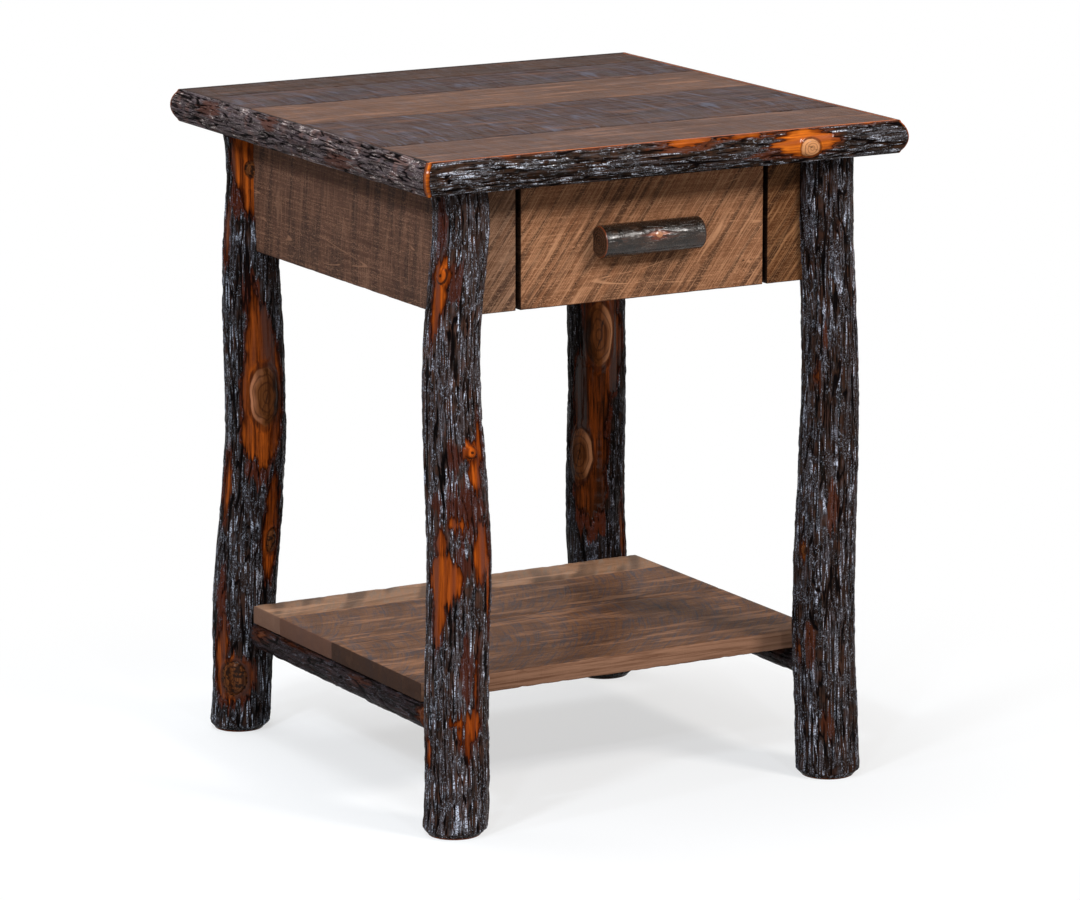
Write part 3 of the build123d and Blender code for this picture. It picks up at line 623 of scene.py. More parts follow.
# Marks: height up the leg, angle from the front towards the left in degrees, half height and half
# width in mm. A knot has its rise too, and its kind: a bud with a dark ring, a scar with a painted
# highlight on its rim at the left or right and painted shade on the other side, a sawn-off branch
# that is pale all over, or a scar with dark blots.
leg_marks = {
    "leg_front_left": {
        "bare": (
            (586, 66, 20, 13), (566, 67, 34, 10), (548, 72, 30, 6), (407, -4, 12, 11),
            (382, -13, 26, 9), (412, -32, 30, 6), (333, 30, 9, 12),
            (302, -20, 36, 13), (312, 64, 18, 8), (274, 58, 30, 22), (238, 66, 30, 8),
            (265, -44, 44, 6), (218, 70, 18, 6), (122, -3, 17, 11), (124, 20, 4, 12),
            (104, 8, 22, 4.5), (112, 20, 13, 3), (127, -16, 6, 6), (160, -10, 34, 2.4),
            (92, 95, 18, 6),
        ),
        "rust": (
            (636, 73, 40, 8), (583, 38, 24, 12), (353, 71, 16, 8), (345, 10, 34, 24), (330, 0, 8, 28),
            (400, 30, 22, 8), (290, 20, 22, 14), (180, 10, 40, 8),
        ),
        "knots": ((588, 65, 11, 8.5, 3.0, bud), (407, -4, 8, 8, 6.0, bud)),
    },
    "leg_front_right": {
        "bare": ((439, 60, 8, 3), (251, 76, 9, 6), (139, 90, 14, 4)),
        "rust": (
            (480, 42, 9, 5), (440, 58, 18, 7), (300, 20, 26, 8), (150, 60, 30, 8),
            (60, 30, 20, 8),
        ),
        "knots": ((251, 76, 6, 4.5, 2.5, highlit_left),),
    },
    "leg_back_left": {
        "bare": (
            (642, 36, 40, 24), (614, 28, 34, 14), (555, 90, 34, 7), (470, 24, 30, 7),
            (438, 14, 46, 18), (385, 8, 74, 28), (340, 12, 40, 26), (276, 86, 40, 8),
            (262, -18, 30, 10), (225, -20, 46, 14), (190, -18, 24, 8), (104, 68, 30, 8),
            (62, 45, 28, 28), (80, 80, 40, 8),
        ),
        "rust": (
            (600, 50, 24, 16), (490, 30, 30, 12), (300, 20, 24, 14), (150, 75, 40, 8),
            (40, 45, 14, 22),
        ),
        "knots": (
            (630, 26, 10, 9, 3.0, dark_scar), (380, 7, 37, 20, 5.0, highlit_left),
            (216, -23, 16, 9, 3.0, dark_scar), (62, 45, 22, 18, 4.0, dark_scar),
        ),
    },
    "leg_back_right": {
        "bare": (
            (440, 20, 90, 22), (392, 10, 60, 26), (330, 45, 70, 24), (269, 50, 50, 26),
            (225, 42, 34, 22), (173, -35, 40, 6),
        ),
        "rust": ((470, -10, 50, 14), (310, 20, 40, 14), (190, 40, 20, 20)),
        "knots": ((405, 24, 42, 18, 5.0, highlit_right), (265, 63, 34, 17, 5.0, highlit_right)),
    },
}
leg_outward = {
    "leg_front_left": radians(45),
    "leg_front_right": radians(-45),
    "leg_back_left": radians(135),
    "leg_back_right": radians(-135),
}
for number, (name, marks) in enumerate(leg_marks.items()):
    foot, head = (corner.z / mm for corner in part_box(name))
    heights = np.linspace(foot, head, round((head - foot) / leg_row) + 1)
    inside = np.clip(heights, foot + 0.5, head - 0.5)
    heart_x, heart_y, radius = measure_log(name, inside, leg_outward[name])[:, :, None]
    along, around = np.meshgrid(heights, np.linspace(0, tau, leg_facets + 1), indexing="ij")
    height, masks = dress_log(along, around, radius, 17.3 * number, leg_plate, leg_furrow, **marks)
    height[:, -1] = height[:, 0]
    out = radius + height * smooth(along, *foot_fade)
    masks["peel"] = np.where(along < foot_chamfer, all_bare, masks["peel"])
    points = np.stack([heart_x - out * np.sin(around), heart_y - out * np.cos(around), along], -1)
    piece = skin(name + "_bark", points, masks)
    finish = bark_finish("bark_" + name, leg_grain, **leg_looks_and_shade[name])
    piece.data.materials.append(finish)
    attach(piece, "case")
    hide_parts(name)

# ------------------------------------------------------------------------------ stretchers
# Two thinner branches with tighter bark, pencil-cut to round tenons that go into the legs. Each
# has a planed flat on top, to which the shelf is screwed.
shoulder_length = 14.0
tenon_length = 22.0
tenon_radius = 11.0
tenon_shown = 6.0
branch_row = 1.6
branch_facets = 96
branch_plate = (6.5, 60)
branch_furrow = 1.0
branch_proud = 0.5
planed_off = 0.5
stretcher_finish = bark_finish(
    "branch_bark", (330, 24, 330), (200, 60, 200), 0.26, 0.6, lacquer=0.35,
    dark=(0.030, 0.019, 0.020), ridge=(0.100, 0.098, 0.120), rust=(0.050, 0.016, 0.009),
    wood_light=(0.20, 0.065, 0.024), wood_deep=(0.08, 0.022, 0.010), rim=(0.30, 0.12, 0.04),
)
# Marks: distance from the middle towards the back, angle from the top towards the left, and so on.
stretcher_marks = {
    "stretcher_left": {
        "bare": ((-196, 70, 12, 10), (176, 62, 9, 6), (95, 45, 36, 2.5)),
        "rust": ((176, 62, 22, 12), (-60, 60, 30, 5)),
        "knots": (),
    },
    "stretcher_right": {
        "bare": (),
        "rust": ((-150, 60, 30, 8), (60, -80, 40, 8)),
        "knots": ((40, -70, 8, 6, 1.5, highlit_left),),
    },
}
for number, (name, marks) in enumerate(stretcher_marks.items()):
    low, high = (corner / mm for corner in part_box(name))
    heart_x = (low.x + high.x) / 2
    thick = (high.x - low.x) / 2
    heart_z = low.z + thick
    front = low.y + tenon_length
    back = high.y - tenon_length
    rows = np.arange(front, back, branch_row)
    stations = np.concatenate([[front - tenon_shown], rows, [back, back + tenon_shown]])
    turns = np.linspace(0, tau, branch_facets + 1)
    along, around = np.meshgrid(stations, turns, indexing="ij")
    from_end = np.minimum(along - front, back - along)
    radius = tenon_radius + (thick - tenon_radius) * np.clip(from_end / shoulder_length, 0, 1)
    seed = 90 + 13.0 * number
    height, masks = dress_log(
        along, around, radius, seed, branch_plate, branch_furrow, **marks
    )
    height[:, -1] = height[:, 0]
    cut = smooth(from_end, shoulder_length - 1.5, shoulder_length + 3)
    out = radius + np.minimum(height, branch_proud) * cut
    masks["peel"] = np.where(along - front < shoulder_length, all_bare, masks["peel"])
    flat = np.minimum(out * np.cos(around), thick - planed_off)
    points = np.stack([heart_x - out * np.sin(around), along, heart_z + flat], -1)
    piece = skin(name + "_bark", points, masks)
    piece.data.materials.append(stretcher_finish)
    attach(piece, "case")
    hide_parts(name)

# ------------------------------------------------------------------------------ edging slabs
# Half-round slabs with their bark on round the top, mitred at the corners. A line of orange
# wood shows along the top arris, where the bark was sanded back with the planks.
edging_flat = 4.5
edging_step = 1.5
arc_points = 35
seat_points = 8
corner_out = 2.2
corner_turn = 0.1
front_slab = {
    "dark": (0.032, 0.019, 0.013), "ridge": (0.62, 0.65, 0.74), "rust": (0.100, 0.026, 0.010),
    "wood_light": (0.72, 0.180, 0.014), "wood_deep": (0.30, 0.060, 0.008),
    "rim": (0.54, 0.240, 0.100),
}
side_slab = {
    "dark": (0.096, 0.072, 0.076), "ridge": (0.56, 0.46, 0.42), "rust": (0.080, 0.030, 0.020),
    "wood_light": (0.44, 0.130, 0.045), "wood_deep": (0.18, 0.045, 0.016),
    "rim": (0.40, 0.20, 0.10),
}
slab_finishes = {}
for side, grain, wrinkle, gloss, bump_depth, lacquer, looks in (
    ("front", (20, 450, 450), (45, 260, 260), 0.16, 0.8, 1.0, front_slab),
    ("back", (24, 330, 330), (45, 260, 260), 0.22, 0.8, 0.6, front_slab),
    ("left", (330, 24, 330), (230, 60, 230), 0.34, 1.0, 0.5, side_slab),
    ("right", (330, 24, 330), (230, 60, 230), 0.30, 0.9, 0.5, side_slab),
):
    slab_finishes["edging_" + side] = bark_finish(
        "slab_bark_" + side, grain, wrinkle, gloss, bump_depth, lacquer, ior=1.04, **looks
    )
# Marks: distance from the middle towards the right or back, angle up from the widest line.
edging_marks = {
    "edging_front": {
        "bare": ((18, 42, 34, 6), (92, 44, 36, 3), (162, 10, 40, 17)),
        "rust": ((18, 30, 40, 9), (150, -10, 54, 10)),
        "knots": ((168, -6, 13, 12, 3.0, sawn_off),),
    },
    "edging_left": {
        "bare": (),
        "rust": ((200, 20, 30, 10), (-100, -20, 40, 10), (60, 30, 20, 10)),
        "knots": (),
    },
    "edging_right": {
        "bare": ((120, 20, 20, 8),),
        "rust": ((100, 20, 50, 10),),
        "knots": ((120, 15, 9, 8, 2.0, highlit_left),),
    },
    "edging_back": {
        "bare": ((-60, 30, 26, 5), (150, -10, 22, 9)),
        "rust": ((100, 20, 50, 10), (-180, -20, 40, 10)),
        "knots": ((150, -8, 9, 8, 2.5, highlit_left),),
    },
}
# The way each slab faces, the length without bark at its left or front end and at the other, and
# the angle above which its top is sanded bare; then the size of its bark plates and their depth.
edging_ways = {
    "edging_front": (0, -1, 4.5, 2.0, 50, (5.0, 110), 1.3),
    "edging_right": (1, 0, 2.0, 4.0, 70, (7.0, 60), 1.9),
    "edging_back": (0, 1, 3.0, 4.0, 90, (5.0, 110), 1.3),
    "edging_left": (-1, 0, 5.5, 3.0, 90, (5.5, 75), 2.1),
}
for number, (name, marks) in enumerate(edging_marks.items()):
    low, high = (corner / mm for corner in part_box(name))
    out_x, out_y, near_bare, far_bare, sanded_from, plate, furrow = edging_ways[name]
    reach = high - low
    deep = reach.y if out_y else reach.x
    half_length = (reach.x if out_y else reach.y) / 2 - deep
    seat = (high.x if out_x < 0 else low.x) if out_x else (high.y if out_y < 0 else low.y)
    half_height = (high.z - low.z) / 2
    bulge = deep - edging_flat
    arc_radius = (half_height**2 + bulge**2) / (2 * bulge)
    arc_end = np.arcsin(half_height / arc_radius)
    arc = np.linspace(-arc_end, arc_end, arc_points)
    arc_out = edging_flat + arc_radius * (np.cos(arc) - np.cos(arc_end))
    arc_up = arc_radius * np.sin(arc)
    seat_up = np.linspace(half_height, -half_height, seat_points)
    seat_out = np.zeros(seat_points)
    seat_turn = np.full(seat_points, pi)
    past_arc = arc_end + corner_turn
    outline_out = np.concatenate([arc_out, [corner_out], seat_out, [corner_out, arc_out[0]]])
    outline_up = np.concatenate([arc_up, [half_height], seat_up, [-half_height, arc_up[0]]])
    outline_turn = np.concatenate([arc, [past_arc], seat_turn, [-past_arc, arc[0]]])
    on_arc = np.concatenate([np.ones(arc_points), np.zeros(seat_points + 2), [1]])
    shares = np.linspace(-1, 1, round(2 * (half_length + deep) / edging_step) + 1)
    share, turn = np.meshgrid(shares, outline_turn, indexing="ij")
    along = share * (half_length + outline_out)
    sanded = np.degrees(turn) - sanded_from + 2.5 * np.sin(along / 17) + 2 * np.sin(along / 5.3)
    height, masks = dress_log(
        along, turn, arc_radius, 140 + 13.0 * number, plate, furrow, sanded=sanded * 0.4, **marks
    )
    from_mitre = (1 - np.abs(share)) * half_length
    ragged = lump(
        np.stack([along, 9 * np.cos(turn), 9 * np.sin(turn)], -1), (5, 5, 5), 2, 3.0 * number
    )
    bare = np.where(share < 0, near_bare, far_bare) + 0.8 * ragged
    masks["peel"] = np.maximum(masks["peel"], bare - from_mitre)
    fade = smooth(from_mitre - bare, -1.5, 2.5)
    height = np.minimum(height * fade - 1.0 * (1 - fade), 0.0)
    height *= on_arc * smooth(arc_end - np.abs(turn), 0.0, 0.14)
    height[:, -1] = height[:, 0]
    stand = outline_out + height * np.cos(turn)
    along = share * (half_length + stand)
    up = outline_up + height * np.sin(turn)
    middle_z = (low.z + high.z) / 2
    if out_y:
        points = np.stack([along, seat + out_y * stand, middle_z + up], -1)
    else:
        points = np.stack([seat + out_x * stand, along, middle_z + up], -1)
    back_peel = all_bare if sanded_from < 90 else -all_bare
    masks["peel"] = np.where(on_arc[None, :] > 0, masks["peel"], back_peel)
    masks["relief"] = np.where(on_arc[None, :] > 0, masks["relief"], 0.25)
    piece = skin(name + "_bark", points, masks)
    piece.data.materials.append(slab_finishes[name])
    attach(piece, "case")
    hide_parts(name)

# ------------------------------------------------------------------------------ top planks
# Five rough-sawn planks, stained and waxed. The saw left curved strokes across some of them, and
# each plank has its own tone and is worn pale in places. The strokes are drawn bluish grey, a painted
# sheen in them. Their arrises are eased, so that the seams show as fine lines.
board_step = 6.0
eased_turns = (0, 30, 60, 90)


def board_outline(half_across, half_thick, arris):
    """Points round the end of a board with eased arrises, ending at the first one."""
    points = []
    for quarter, (side_a, side_t) in enumerate(((1, 1), (-1, 1), (-1, -1), (1, -1))):
        for turn in eased_turns:
            angle = radians(90 * quarter + turn)
            points.append((
                side_a * (half_across - arris) + arris * cos(angle),
                side_t * (half_thick - arris) + arris * sin(angle),
            ))
        gap = 2 * (half_thick if quarter % 2 else half_across) - 2 * arris
        count = max(1, round(gap / board_step))
        way = ((-gap, 0), (0, -gap), (gap, 0), (0, gap))[quarter]
        last = points[-1]
        points += [
            (last[0] + way[0] * k / count, last[1] + way[1] * k / count) for k in range(1, count)
        ]
    return np.array(points + points[:1]).T


def board(node, order, arris, seed, wear, dish=0.25):
    """A worn board in place of a CAD node. order is its axes: along, across, through.

    wear is how deep its long arrises are nicked, and dish how deep its faces are hollowed, in mm.
    """
    low, high = (np.array(corner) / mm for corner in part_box(node))
    axes = ["xyz".index(letter) for letter in order]
    centre = ((low + high) / 2)[axes]
    half = ((high - low) / 2)[axes]
    across, thick = board_outline(half[1], half[2], arris)
    eased = np.radians(eased_turns)
    start = arris * (1 - np.cos(eased))
    inset = arris * (1 - np.sin(eased))
    count = round(2 * half[0] / board_step)
    inner = np.linspace(arris, 2 * half[0] - arris, count)[1:-1]
    stations = np.concatenate([start, inner, 2 * half[0] - start[::-1]]) - half[0]
    insets = np.concatenate([inset, np.zeros(len(inner)), inset[::-1]])[:, None]
    a = np.clip(across, insets - half[1], half[1] - insets)
    t = np.clip(thick, insets - half[2], half[2] - insets)
    along = stations[:, None] + 0 * a
    places = np.stack([along, a, t], -1)
    near = smooth(np.abs(a), half[1] - 3, half[1] - 0.5)
    near *= smooth(np.abs(t), half[2] - 3, half[2] - 0.5)
    nicks = wear * near * np.maximum(lump(places, (9, 30, 30), 2, seed), 0)
    hollow = dish * (0.5 + 0.5 * lump(places, (70, 28, 200), 2, seed + 5))
    places[..., 1] -= np.sign(a) * nicks * 1.5
    places[..., 2] -= np.sign(t) * (nicks * 1.5 + hollow)
    places[:, -1] = places[:, 0]
    points = np.empty_like(places)
    points[..., axes] = places + centre
    ends = (np.abs(along) > half[0] - 0.6 * arris) * 1.0
    edges = (np.abs(a) > half[1] - 0.6 * arris) * (1.0 - ends)
    piece = skin(node + "_board", points, {"end": ends, "edge": edges})
    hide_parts(node)
    return piece


def sawn_group():
    """Rough-sawn wood: grain, arcs left by the saw, raised fibres and pits. Sizes in mm.

    The saw moved along Saw Way, its arcs Pitch apart, bent by Bow about Saw Centre and broken into
    strokes of length Stroke. Hatch to Grain and Wear are strengths. Light and Deep are the wood,
    the mark colour the saw's lines and raised fibres, and where it is bluish grey also a painted
    sheen in them, Band its darker stripes, Edge the long edges.
    """
    numbers = (
        "Pitch", "Stroke", "Bow", "Hatch", "Marks", "Bands", "Fibres", "Grain", "Gloss", "Wear",
    )
    colours = ("Light", "Deep", "Mark", "Band", "End", "Edge")
    tree, maker, source, target = new_group(
        "sawn_wood",
        {
            "Place": "Vector",
            "Saw Centre": "Vector",
            "Saw Way": "Vector",
            **{name: "Float" for name in numbers},
            **{name: "Color" for name in colours},
        },
        {"Color": "Color", "Roughness": "Float", "Height": "Float"},
    )
    mix, steps, times, plus, minus = maker.mix, maker.steps, maker.times, maker.plus, maker.minus
    place = source["Place"]

    def stretched(scale, vector=place, offset=(0, 0, 0)):
        return maker.vector("ADD", maker.scaled(vector, scale), offset)

    # Arcs of the saw: how far along its way in pitches, and how far across in strokes.
    away = maker.vector("SUBTRACT", place, source["Saw Centre"])
    parts = maker.add("ShaderNodeSeparateXYZ")
    maker.link(away, parts.inputs[0])
    turn = parts.outputs["Y"]
    sway = maker.speckle(stretched((0.03, 0.03, 0.03)), 1.0)
    reach = maker.vector("DOT_PRODUCT", away, source["Saw Way"])
    reach = plus(reach, times(sway, 2.5))
    bow = times(times(turn, turn), source["Bow"])
    polar = maker.add("ShaderNodeCombineXYZ")
    maker.put(maker.math("DIVIDE", plus(reach, bow), source["Pitch"]), polar.inputs[0])
    maker.put(maker.math("DIVIDE", turn, source["Stroke"]), polar.inputs[1])
    polar = polar.outputs[0]
    hatch = maker.speckle(stretched((4.5, 1.6, 1), polar, (13, 3, 2)), 2.0)
    bands = maker.speckle(stretched((0.75, 0.35, 1), polar, (40, 9, 5)), 1.0)
    patchy = maker.speckle(stretched((0.035, 0.05, 0.05)), 2.0)
    lines = maker.threads(stretched((1, 0.16, 1), polar), 0.5, 0.030, 0.0, 0.0)
    fainter = maker.threads(stretched((1.9, 0.22, 1), polar, (7, 21, 3)), 0.5, 0.045, 0.0, 0.0)
    lines = maker.larger(lines, times(fainter, 0.6))
    broken = maker.speckle(stretched((0.9, 1.3, 1), polar, (17, 5, 9)), 1.0)
    lines = times(lines, steps(broken, 0.42, 0.58, 0.05, 1.0))
    # Grain, curly raised fibres, a few long split fibres, and pits.
    grain = maker.speckle(stretched((0.012, 0.42, 0.42)), 5.0, 0.62, 0.5)
    figure = maker.speckle(stretched((0.008, 0.040, 0.040)), 3.0, 0.55, 1.0)
    curls = maker.threads(stretched((0.11, 0.30, 0.30)), 0.5, 0.050, 2.0, 2.2)
    curls = times(curls, steps(grain, 0.40, 0.60, 0.15, 1.0))
    split = maker.threads(stretched((0.0035, 0.030, 0.030), place, (5, 1, 8)), 0.55, 0.007, 1.0, 0.3)
    split = times(split, steps(patchy, 0.50, 0.60))
    pits = maker.speckle(stretched((0.24, 0.36, 0.36)), 1.0, 0.5)
    streaks = minus(steps(grain, 0.30, 0.70), 0.5)
    streaks = plus(times(streaks, source["Grain"]), 0.5)
    colour = mix(streaks, source["Deep"], source["Light"])
    shade = maker.toned(source["Deep"], (0.70, 0.68, 0.68))
    colour = mix(steps(figure, 0.48, 0.70, 0.0, 0.6), colour, shade)
    fine = times(steps(hatch, 0.42, 0.66), source["Hatch"])
    fine = times(fine, steps(patchy, 0.38, 0.58, 0.4, 1.0))
    colour = mix(fine, colour, source["Mark"])
    band = times(steps(bands, 0.48, 0.64), source["Bands"])
    colour = mix(band, colour, source["Band"])
    colour = mix(times(lines, source["Marks"]), colour, source["Mark"])
    fibre = times(maker.larger(curls, split), source["Fibres"])
    colour = mix(fibre, colour, source["Mark"])
    colour = mix(steps(pits, 0.76, 0.80, 0.0, 0.9), colour, (0.012, 0.008, 0.007))
    # Patches worn pale, the ends and the long edges.
    worn = maker.speckle(stretched((0.012, 0.070, 0.070), place, (3, 9, 4)), 3.0, 0.6)
    worn = times(steps(worn, 0.54, 0.66), source["Wear"])
    colour = mix(worn, colour, maker.toned(source["Light"], (1.9, 1.9, 1.9)))
    # The ends take the End colour, which is painted shade where it is near black.
    colour = mix(times(maker.attribute("end"), 0.9), colour, source["End"])
    edge = maker.toned(source["Edge"], (0.55, 0.50, 0.48))
    edge = mix(steps(grain, 0.36, 0.62), edge, source["Edge"])
    colour = mix(maker.attribute("edge"), colour, edge)
    maker.link(colour, target["Color"])
    rough = plus(source["Gloss"], steps(grain, 0.3, 0.7, 0.12, 0.0))
    rough = plus(rough, times(fibre, 0.15))
    maker.link(rough, target["Roughness"])
    height = plus(times(hatch, 0.5), times(grain, 0.35))
    height = plus(height, times(lines, 0.35))
    height = plus(height, times(curls, 0.30))
    height = minus(height, times(band, 0.15))
    maker.link(height, target["Height"])
    return tree


sawn_wood = sawn_group()


def sawn_finish(name, order, seed, ior=1.10, bump=0.7, **values):
    """A finish of sawn wood with its grain along the first axis of order."""
    centre = tuple(a + b for a, b in zip(values.pop("Saw Centre"), seed))
    values = {"Edge": values["Deep"], "Saw Centre": centre, **values}

    def outputs_of(maker):
        place = maker.add("ShaderNodeTexCoord").outputs["Object"]
        parts = maker.add("ShaderNodeSeparateXYZ")
        maker.link(place, parts.inputs[0])
        turned = maker.add("ShaderNodeCombineXYZ")
        for target, letter in zip(turned.inputs, order):
            maker.link(parts.outputs["xyz".index(letter)], target)
        in_mm = maker.vector("SCALE", turned.outputs[0])
        in_mm.node.inputs["Scale"].default_value = 1 / mm
        return maker.group(sawn_wood, Place=maker.vector("ADD", in_mm, seed), **values)

    return new_material(name, outputs_of, ior, bump_depth=0.8, bump=bump)


def plank_middle(name):
    """Where the saw's arcs are centred, in mm: halfway across the plank."""
    low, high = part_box(name)
    return 0, (low.y + high.y) / 2 / mm, 0


# The bluish-grey mark colours of these planks are painted sheen in the saw's strokes.
top_planks = {
    "top_plank_front": {
        "Marks": 0.15, "Bands": 0.35, "Light": (0.120, 0.061, 0.039), "Deep": (0.066, 0.033, 0.022),
        "Mark": (0.115, 0.105, 0.115), "Band": (0.072, 0.046, 0.038),
    },
    "top_plank_second": {
        "Marks": 0.55, "Bands": 0.5, "Light": (0.076, 0.036, 0.022), "Deep": (0.024, 0.011, 0.007),
        "Mark": (0.104, 0.108, 0.140), "Band": (0.060, 0.042, 0.037),
    },
    "top_plank_middle": {
        "Marks": 0.15, "Bands": 0.3, "Light": (0.140, 0.068, 0.040), "Deep": (0.078, 0.038, 0.023),
        "Mark": (0.112, 0.098, 0.104), "Band": (0.074, 0.044, 0.034),
    },
    "top_plank_fourth": {
        "Marks": 0.50, "Bands": 0.6, "Light": (0.068, 0.032, 0.020), "Deep": (0.022, 0.010, 0.007),
        "Mark": (0.096, 0.100, 0.130), "Band": (0.054, 0.040, 0.037),
    },
    "top_plank_back": {
        "Marks": 0.15, "Bands": 0.4, "Light": (0.066, 0.030, 0.017), "Deep": (0.024, 0.011, 0.006),
        "Mark": (0.092, 0.086, 0.096), "Band": (0.054, 0.037, 0.032),
    },
}
top_look = {
    "Saw Way": (1, 0, 0), "Bow": 0.0012, "Pitch": 13.0, "Stroke": 60.0, "Hatch": 0.32,
    "Fibres": 0.10, "Grain": 1.0, "Gloss": 0.34, "Wear": 0.4, "End": (0.03, 0.016, 0.012),
}
for number, (name, values) in enumerate(top_planks.items()):
    piece = board(name, "xyz", arris=0.7, seed=11.0 * number, wear=0.3)
    seed = (310.0 * number, 97.0 * number, 0.0)
    look = {"Saw Centre": plank_middle(name), **top_look, **values}
    piece.data.materials.append(sawn_finish(name, "xyz", seed, ior=1.035, **look))
    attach(piece, "case")

# ------------------------------------------------------------------------------ shelf planks
# Three planks like those of the top, with strong arcs of the saw and tan edges. The back one is
# paler.
shelf_planks = {
    "shelf_plank_front": {
        "Marks": 0.50, "Bands": 0.25, "Light": (0.255, 0.122, 0.064), "Deep": (0.096, 0.043, 0.023),
        "Mark": (0.066, 0.060, 0.068), "Band": (0.080, 0.040, 0.026), "End": (0.042, 0.023, 0.017),
    },
    "shelf_plank_middle": {
        "Marks": 0.50, "Bands": 0.35, "Light": (0.255, 0.124, 0.066), "Deep": (0.098, 0.045, 0.025),
        "Mark": (0.066, 0.060, 0.068), "Band": (0.076, 0.040, 0.027), "End": (0.120, 0.060, 0.042),
    },
    "shelf_plank_back": {
        "Marks": 0.05, "Bands": 0.85, "Light": (0.365, 0.200, 0.120), "Deep": (0.240, 0.122, 0.064),
        "Mark": (0.220, 0.160, 0.120), "Band": (0.120, 0.070, 0.046), "End": (0.165, 0.088, 0.060),
    },
}
shelf_look = {
    "Saw Way": (0.86, -0.50, 0), "Bow": 0.0022, "Pitch": 19.0, "Stroke": 60.0, "Hatch": 0.65,
    "Fibres": 0.10, "Grain": 1.0, "Gloss": 0.22, "Wear": 0.35, "Edge": (0.280, 0.145, 0.088),
}
for number, (name, values) in enumerate(shelf_planks.items()):
    piece = board(name, "xyz", arris=1.2, seed=70 + 11.0 * number, wear=0.8, dish=0.14)
    seed = (410.0 * number + 900, 83.0 * number, 0.0)
    look = {"Saw Centre": plank_middle(name), **shelf_look, **values}
    piece.data.materials.append(sawn_finish(name, "xyz", seed, ior=1.03, bump=0.3, **look))
    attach(piece, "case")

# ------------------------------------------------------------------------------ case boards
# Rough-sawn aprons and front stiles between the legs, with the saw's strokes left on them. They
# are dowelled to the legs, and the stiles fill the gaps on both sides of the drawer.
# The near-black ends of these boards are painted shade: beside the drawer front and the stiles they
# face the drawer's gaps.
side_look = {
    "Saw Centre": (0, 608, 0), "Saw Way": (0.993, 0.119, 0), "Bow": 0.0006, "Pitch": 12.0,
    "Stroke": 54.0, "Hatch": 0.15, "Marks": 0.30, "Bands": 0.75, "Fibres": 0.70, "Grain": 0.45,
    "Gloss": 0.48, "End": (0.004, 0.002, 0.002),
    "Light": (0.122, 0.057, 0.037), "Deep": (0.058, 0.028, 0.019),
    "Mark": (0.340, 0.170, 0.100), "Band": (0.034, 0.019, 0.015),
}
front_look = {
    "Saw Centre": (0, 605, 0), "Saw Way": (0.809, -0.588, 0), "Bow": 0.0003, "Pitch": 6.0,
    "Stroke": 60.0, "Hatch": 0.50, "Marks": 0.65, "Bands": 0.80, "Fibres": 0.60, "Grain": 0.45,
    "Gloss": 0.44, "End": (0.004, 0.002, 0.002),
    "Light": (0.250, 0.105, 0.049), "Deep": (0.118, 0.045, 0.020),
    "Mark": (0.560, 0.280, 0.145), "Band": (0.062, 0.028, 0.016),
}
left_stile_look = {
    **front_look, "Light": (0.185, 0.088, 0.048), "Deep": (0.090, 0.040, 0.022),
    "Mark": (0.420, 0.235, 0.140), "Band": (0.050, 0.026, 0.018),
}
right_stile_look = {
    **front_look, "Light": (0.105, 0.036, 0.012), "Deep": (0.044, 0.014, 0.005),
    "Mark": (0.340, 0.160, 0.070), "Band": (0.022, 0.009, 0.005),
}
side_boards = sawn_finish("sawn_side", "yzx", (0, 0, 0), **side_look)
back_boards = sawn_finish("sawn_back", "xzy", (77, 31, 0), **front_look)
left_stile = sawn_finish("sawn_stile_left", "xzy", (11, 31, 0), **left_stile_look)
right_stile = sawn_finish("sawn_stile_right", "xzy", (77, 31, 0), **right_stile_look)
for number, (name, order, finish) in enumerate((
    ("side_apron_left", "yzx", side_boards),
    ("side_apron_right", "yzx", side_boards),
    ("back_apron", "xzy", back_boards),
    ("front_stile_left", "xzy", left_stile),
    ("front_stile_right", "xzy", right_stile),
)):
    piece = board(name, order, arris=0.8, seed=200 + 11.0 * number, wear=0.25)
    piece.data.materials.append(finish)
    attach(piece, "case")

# ------------------------------------------------------------------------------ drawer front
# A rough-sawn board with slanting strokes of the saw and raised tan fibres, screwed to the box
# from inside.
piece = board("drawer_front", "xzy", arris=1.2, seed=300.0, wear=0.25)
piece.data.materials.append(sawn_finish("sawn_drawer_front", "xzy", (0, 0, 0), **front_look))
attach(piece, "drawer")

# ------------------------------------------------------------------------------ drawer pull
# A length of branch with smooth tight bark, flat at its back. Each end is pencil-cut and shows
# its growth rings. It has a diamond-shaped knot in the front and a bud scar.
pull_rim = 1.4
pull_facets = 120
pull_rows = 130
pull_plate = (9, 30)
pull_furrow = 0.35
end_rows = 9
rim_bare = 1.5
smooth_end = 2.5
low, high = (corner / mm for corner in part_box("drawer_pull"))
heart_z = (low.z + high.z) / 2
thick = (high.z - low.z) / 2
heart_y = low.y + thick
rows = np.linspace(low.x, high.x, pull_rows)
stations = np.concatenate([[low.x] * end_rows, rows, [high.x] * end_rows])
shares = np.concatenate([
    np.linspace(0.02, 0.98, end_rows), np.ones(pull_rows), np.linspace(0.98, 0.02, end_rows),
])
along, around = np.meshgrid(stations, np.linspace(0, tau, pull_facets + 1), indexing="ij")
from_end = np.minimum(along - low.x, high.x - along)
radius = thick - pull_rim * np.clip(1 - from_end / pull_rim, 0, 1)
height, masks = dress_log(
    along, around, radius, 400.0, pull_plate, pull_furrow,
    bare=((2, 18, 10, 6.5), (-38, 8, 1.5, 1.5)),
    rust=((2, 18, 13, 9),),
    knots=((3, 18, 4.5, 4, 0.8, sawn_off),),
)
places = np.stack([along, thick * np.cos(around), thick * np.sin(around)], -1)
wave = 0.35 * lump(places, (22, 12, 12), 2, 9)
height = np.where(from_end < smooth_end, 0.0, np.clip(0.25 * height + wave, -0.8, 0.3))
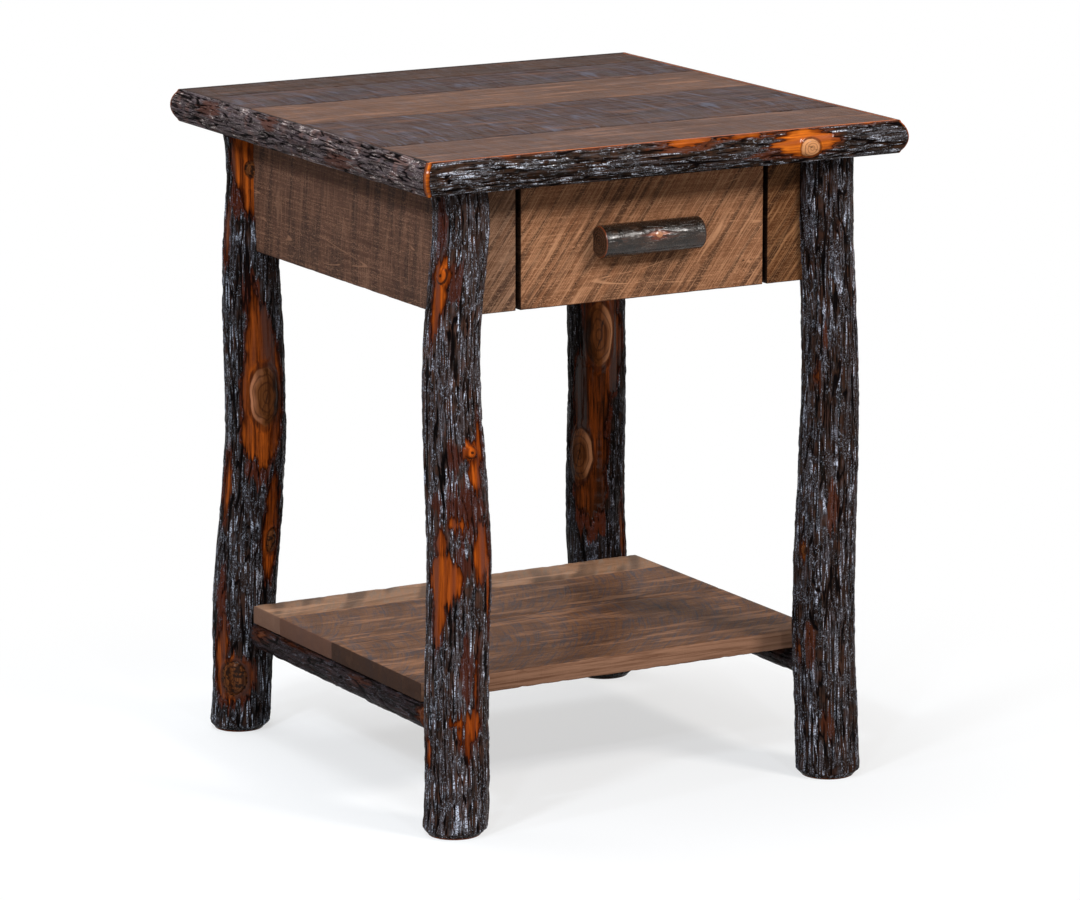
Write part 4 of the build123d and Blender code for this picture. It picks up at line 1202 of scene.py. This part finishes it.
height[:, -1] = height[:, 0]
out = (radius + height) * shares[:, None]
masks["rings"] = np.where(shares[:, None] < 1, off_mark, masks["rings"])
masks["relief"] = np.ones(along.shape)
masks["crest"] = np.zeros(along.shape)
masks["tone"] = smooth(wave, -0.3, 0.3)
masks["peel"] = np.where(from_end < rim_bare, all_bare, masks["peel"])
masks["end"] = np.where(from_end < 0.1, out / thick, off_mark)
forward = np.maximum(-out * np.cos(around), -thick)
depth = np.minimum(heart_y + forward, high.y)
points = np.stack([along, depth, heart_z + out * np.sin(around)], -1)
piece = skin("drawer_pull_bark", points, masks)
pull_finish = bark_finish(
    "pull_bark", (60, 260, 260), (90, 260, 260), 0.10, 0.22, lacquer=1.0, ior=1.42,
    dark=(0.026, 0.016, 0.011), ridge=(0.075, 0.052, 0.038), rust=(0.050, 0.018, 0.010),
    wood_light=(0.34, 0.095, 0.030), wood_deep=(0.16, 0.035, 0.012), rim=(0.40, 0.16, 0.07),
    end_light=(0.060, 0.026, 0.014), end_deep=(0.022, 0.010, 0.006),
)
piece.data.materials.append(pull_finish)
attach(piece, "drawer")
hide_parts("drawer_pull")

# ------------------------------------------------------------------------------ inner woods
# Plain planed wood inside: the drawer frame, runners, guides, kickers and cleats, the drawer box
# with its panel, the turn button, the dowels and the loose tongues.
planed_look = {
    "Saw Centre": (0, 0, 0), "Saw Way": (1, 0, 0), "Pitch": 6.0, "Stroke": 60.0, "Grain": 1.0,
    "Gloss": 0.45, "End": (0.1, 0.06, 0.03),
}
inner_woods = {
    "drawer_frame_wood": ({"Light": (0.36, 0.22, 0.12), "Deep": (0.22, 0.125, 0.065)}, {
        "xyz": ("front_top_rail", "front_lower_rail", "back_lower_rail", "top_cleat_back"),
        "yxz": (
            "runner_left", "runner_right", "guide_left", "guide_right", "kicker_left",
            "kicker_right", "top_cleat_left", "top_cleat_right",
        ),
        "zxy": ("turn_button",),
    }),
    "drawer_box_wood": ({"Light": (0.56, 0.40, 0.25), "Deep": (0.40, 0.26, 0.15)}, {
        "xzy": ("drawer_box_front", "drawer_back"),
        "yzx": ("drawer_side_left", "drawer_side_right"),
    }),
    "drawer_panel": ({"Light": (0.50, 0.36, 0.22), "Deep": (0.36, 0.24, 0.14)}, {
        "xyz": ("drawer_bottom",),
    }),
    "dowel_wood": ({"Light": (0.52, 0.36, 0.20), "Deep": (0.38, 0.24, 0.13)}, {
        "xyz": (
            "side_apron_dowels", "cross_dowels", "rail_dowels", "edging_dowels", "top_tongues",
            "shelf_tongues",
        ),
    }),
}
for wood, (colours, pieces) in inner_woods.items():
    for order, names in pieces.items():
        finish = sawn_finish(
            f"{wood}_{order}", order, (60, 20, 5), ior=1.35,
            Mark=colours["Light"], Band=colours["Deep"], **planed_look, **colours,
        )
        for name in names:
            nodes[name].data.materials.clear()
            nodes[name].data.materials.append(finish)

# ------------------------------------------------------------------------------ screws
# Zinc-plated steel screws, slightly dulled, that hold the shelf, the cleats, the guides, the drawer
# front, the pull, the drawer bottom and the turn button.
steel = bpy.data.materials.new("zinc_plated_steel")
steel.use_nodes = True
maker = Maker(steel.node_tree)
shader = steel.node_tree.nodes["Principled BSDF"]
shader.inputs["Metallic"].default_value = 1.0
place = maker.add("ShaderNodeTexCoord").outputs["Object"]
blot = maker.speckle(maker.scaled(place, (420, 420, 420)), 3.0)
colour = maker.mix(maker.steps(blot, 0.35, 0.7), (0.52, 0.51, 0.49), (0.36, 0.34, 0.31))
maker.link(colour, shader.inputs["Base Color"])
maker.link(maker.steps(blot, 0.3, 0.7, 0.30, 0.48), shader.inputs["Roughness"])
for name in (
    "shelf_screws", "top_screws", "guide_screws", "drawer_front_screws", "pull_screws",
    "drawer_bottom_screws", "turn_button_screw",
):
    nodes[name].data.materials.clear()
    nodes[name].data.materials.append(steel)
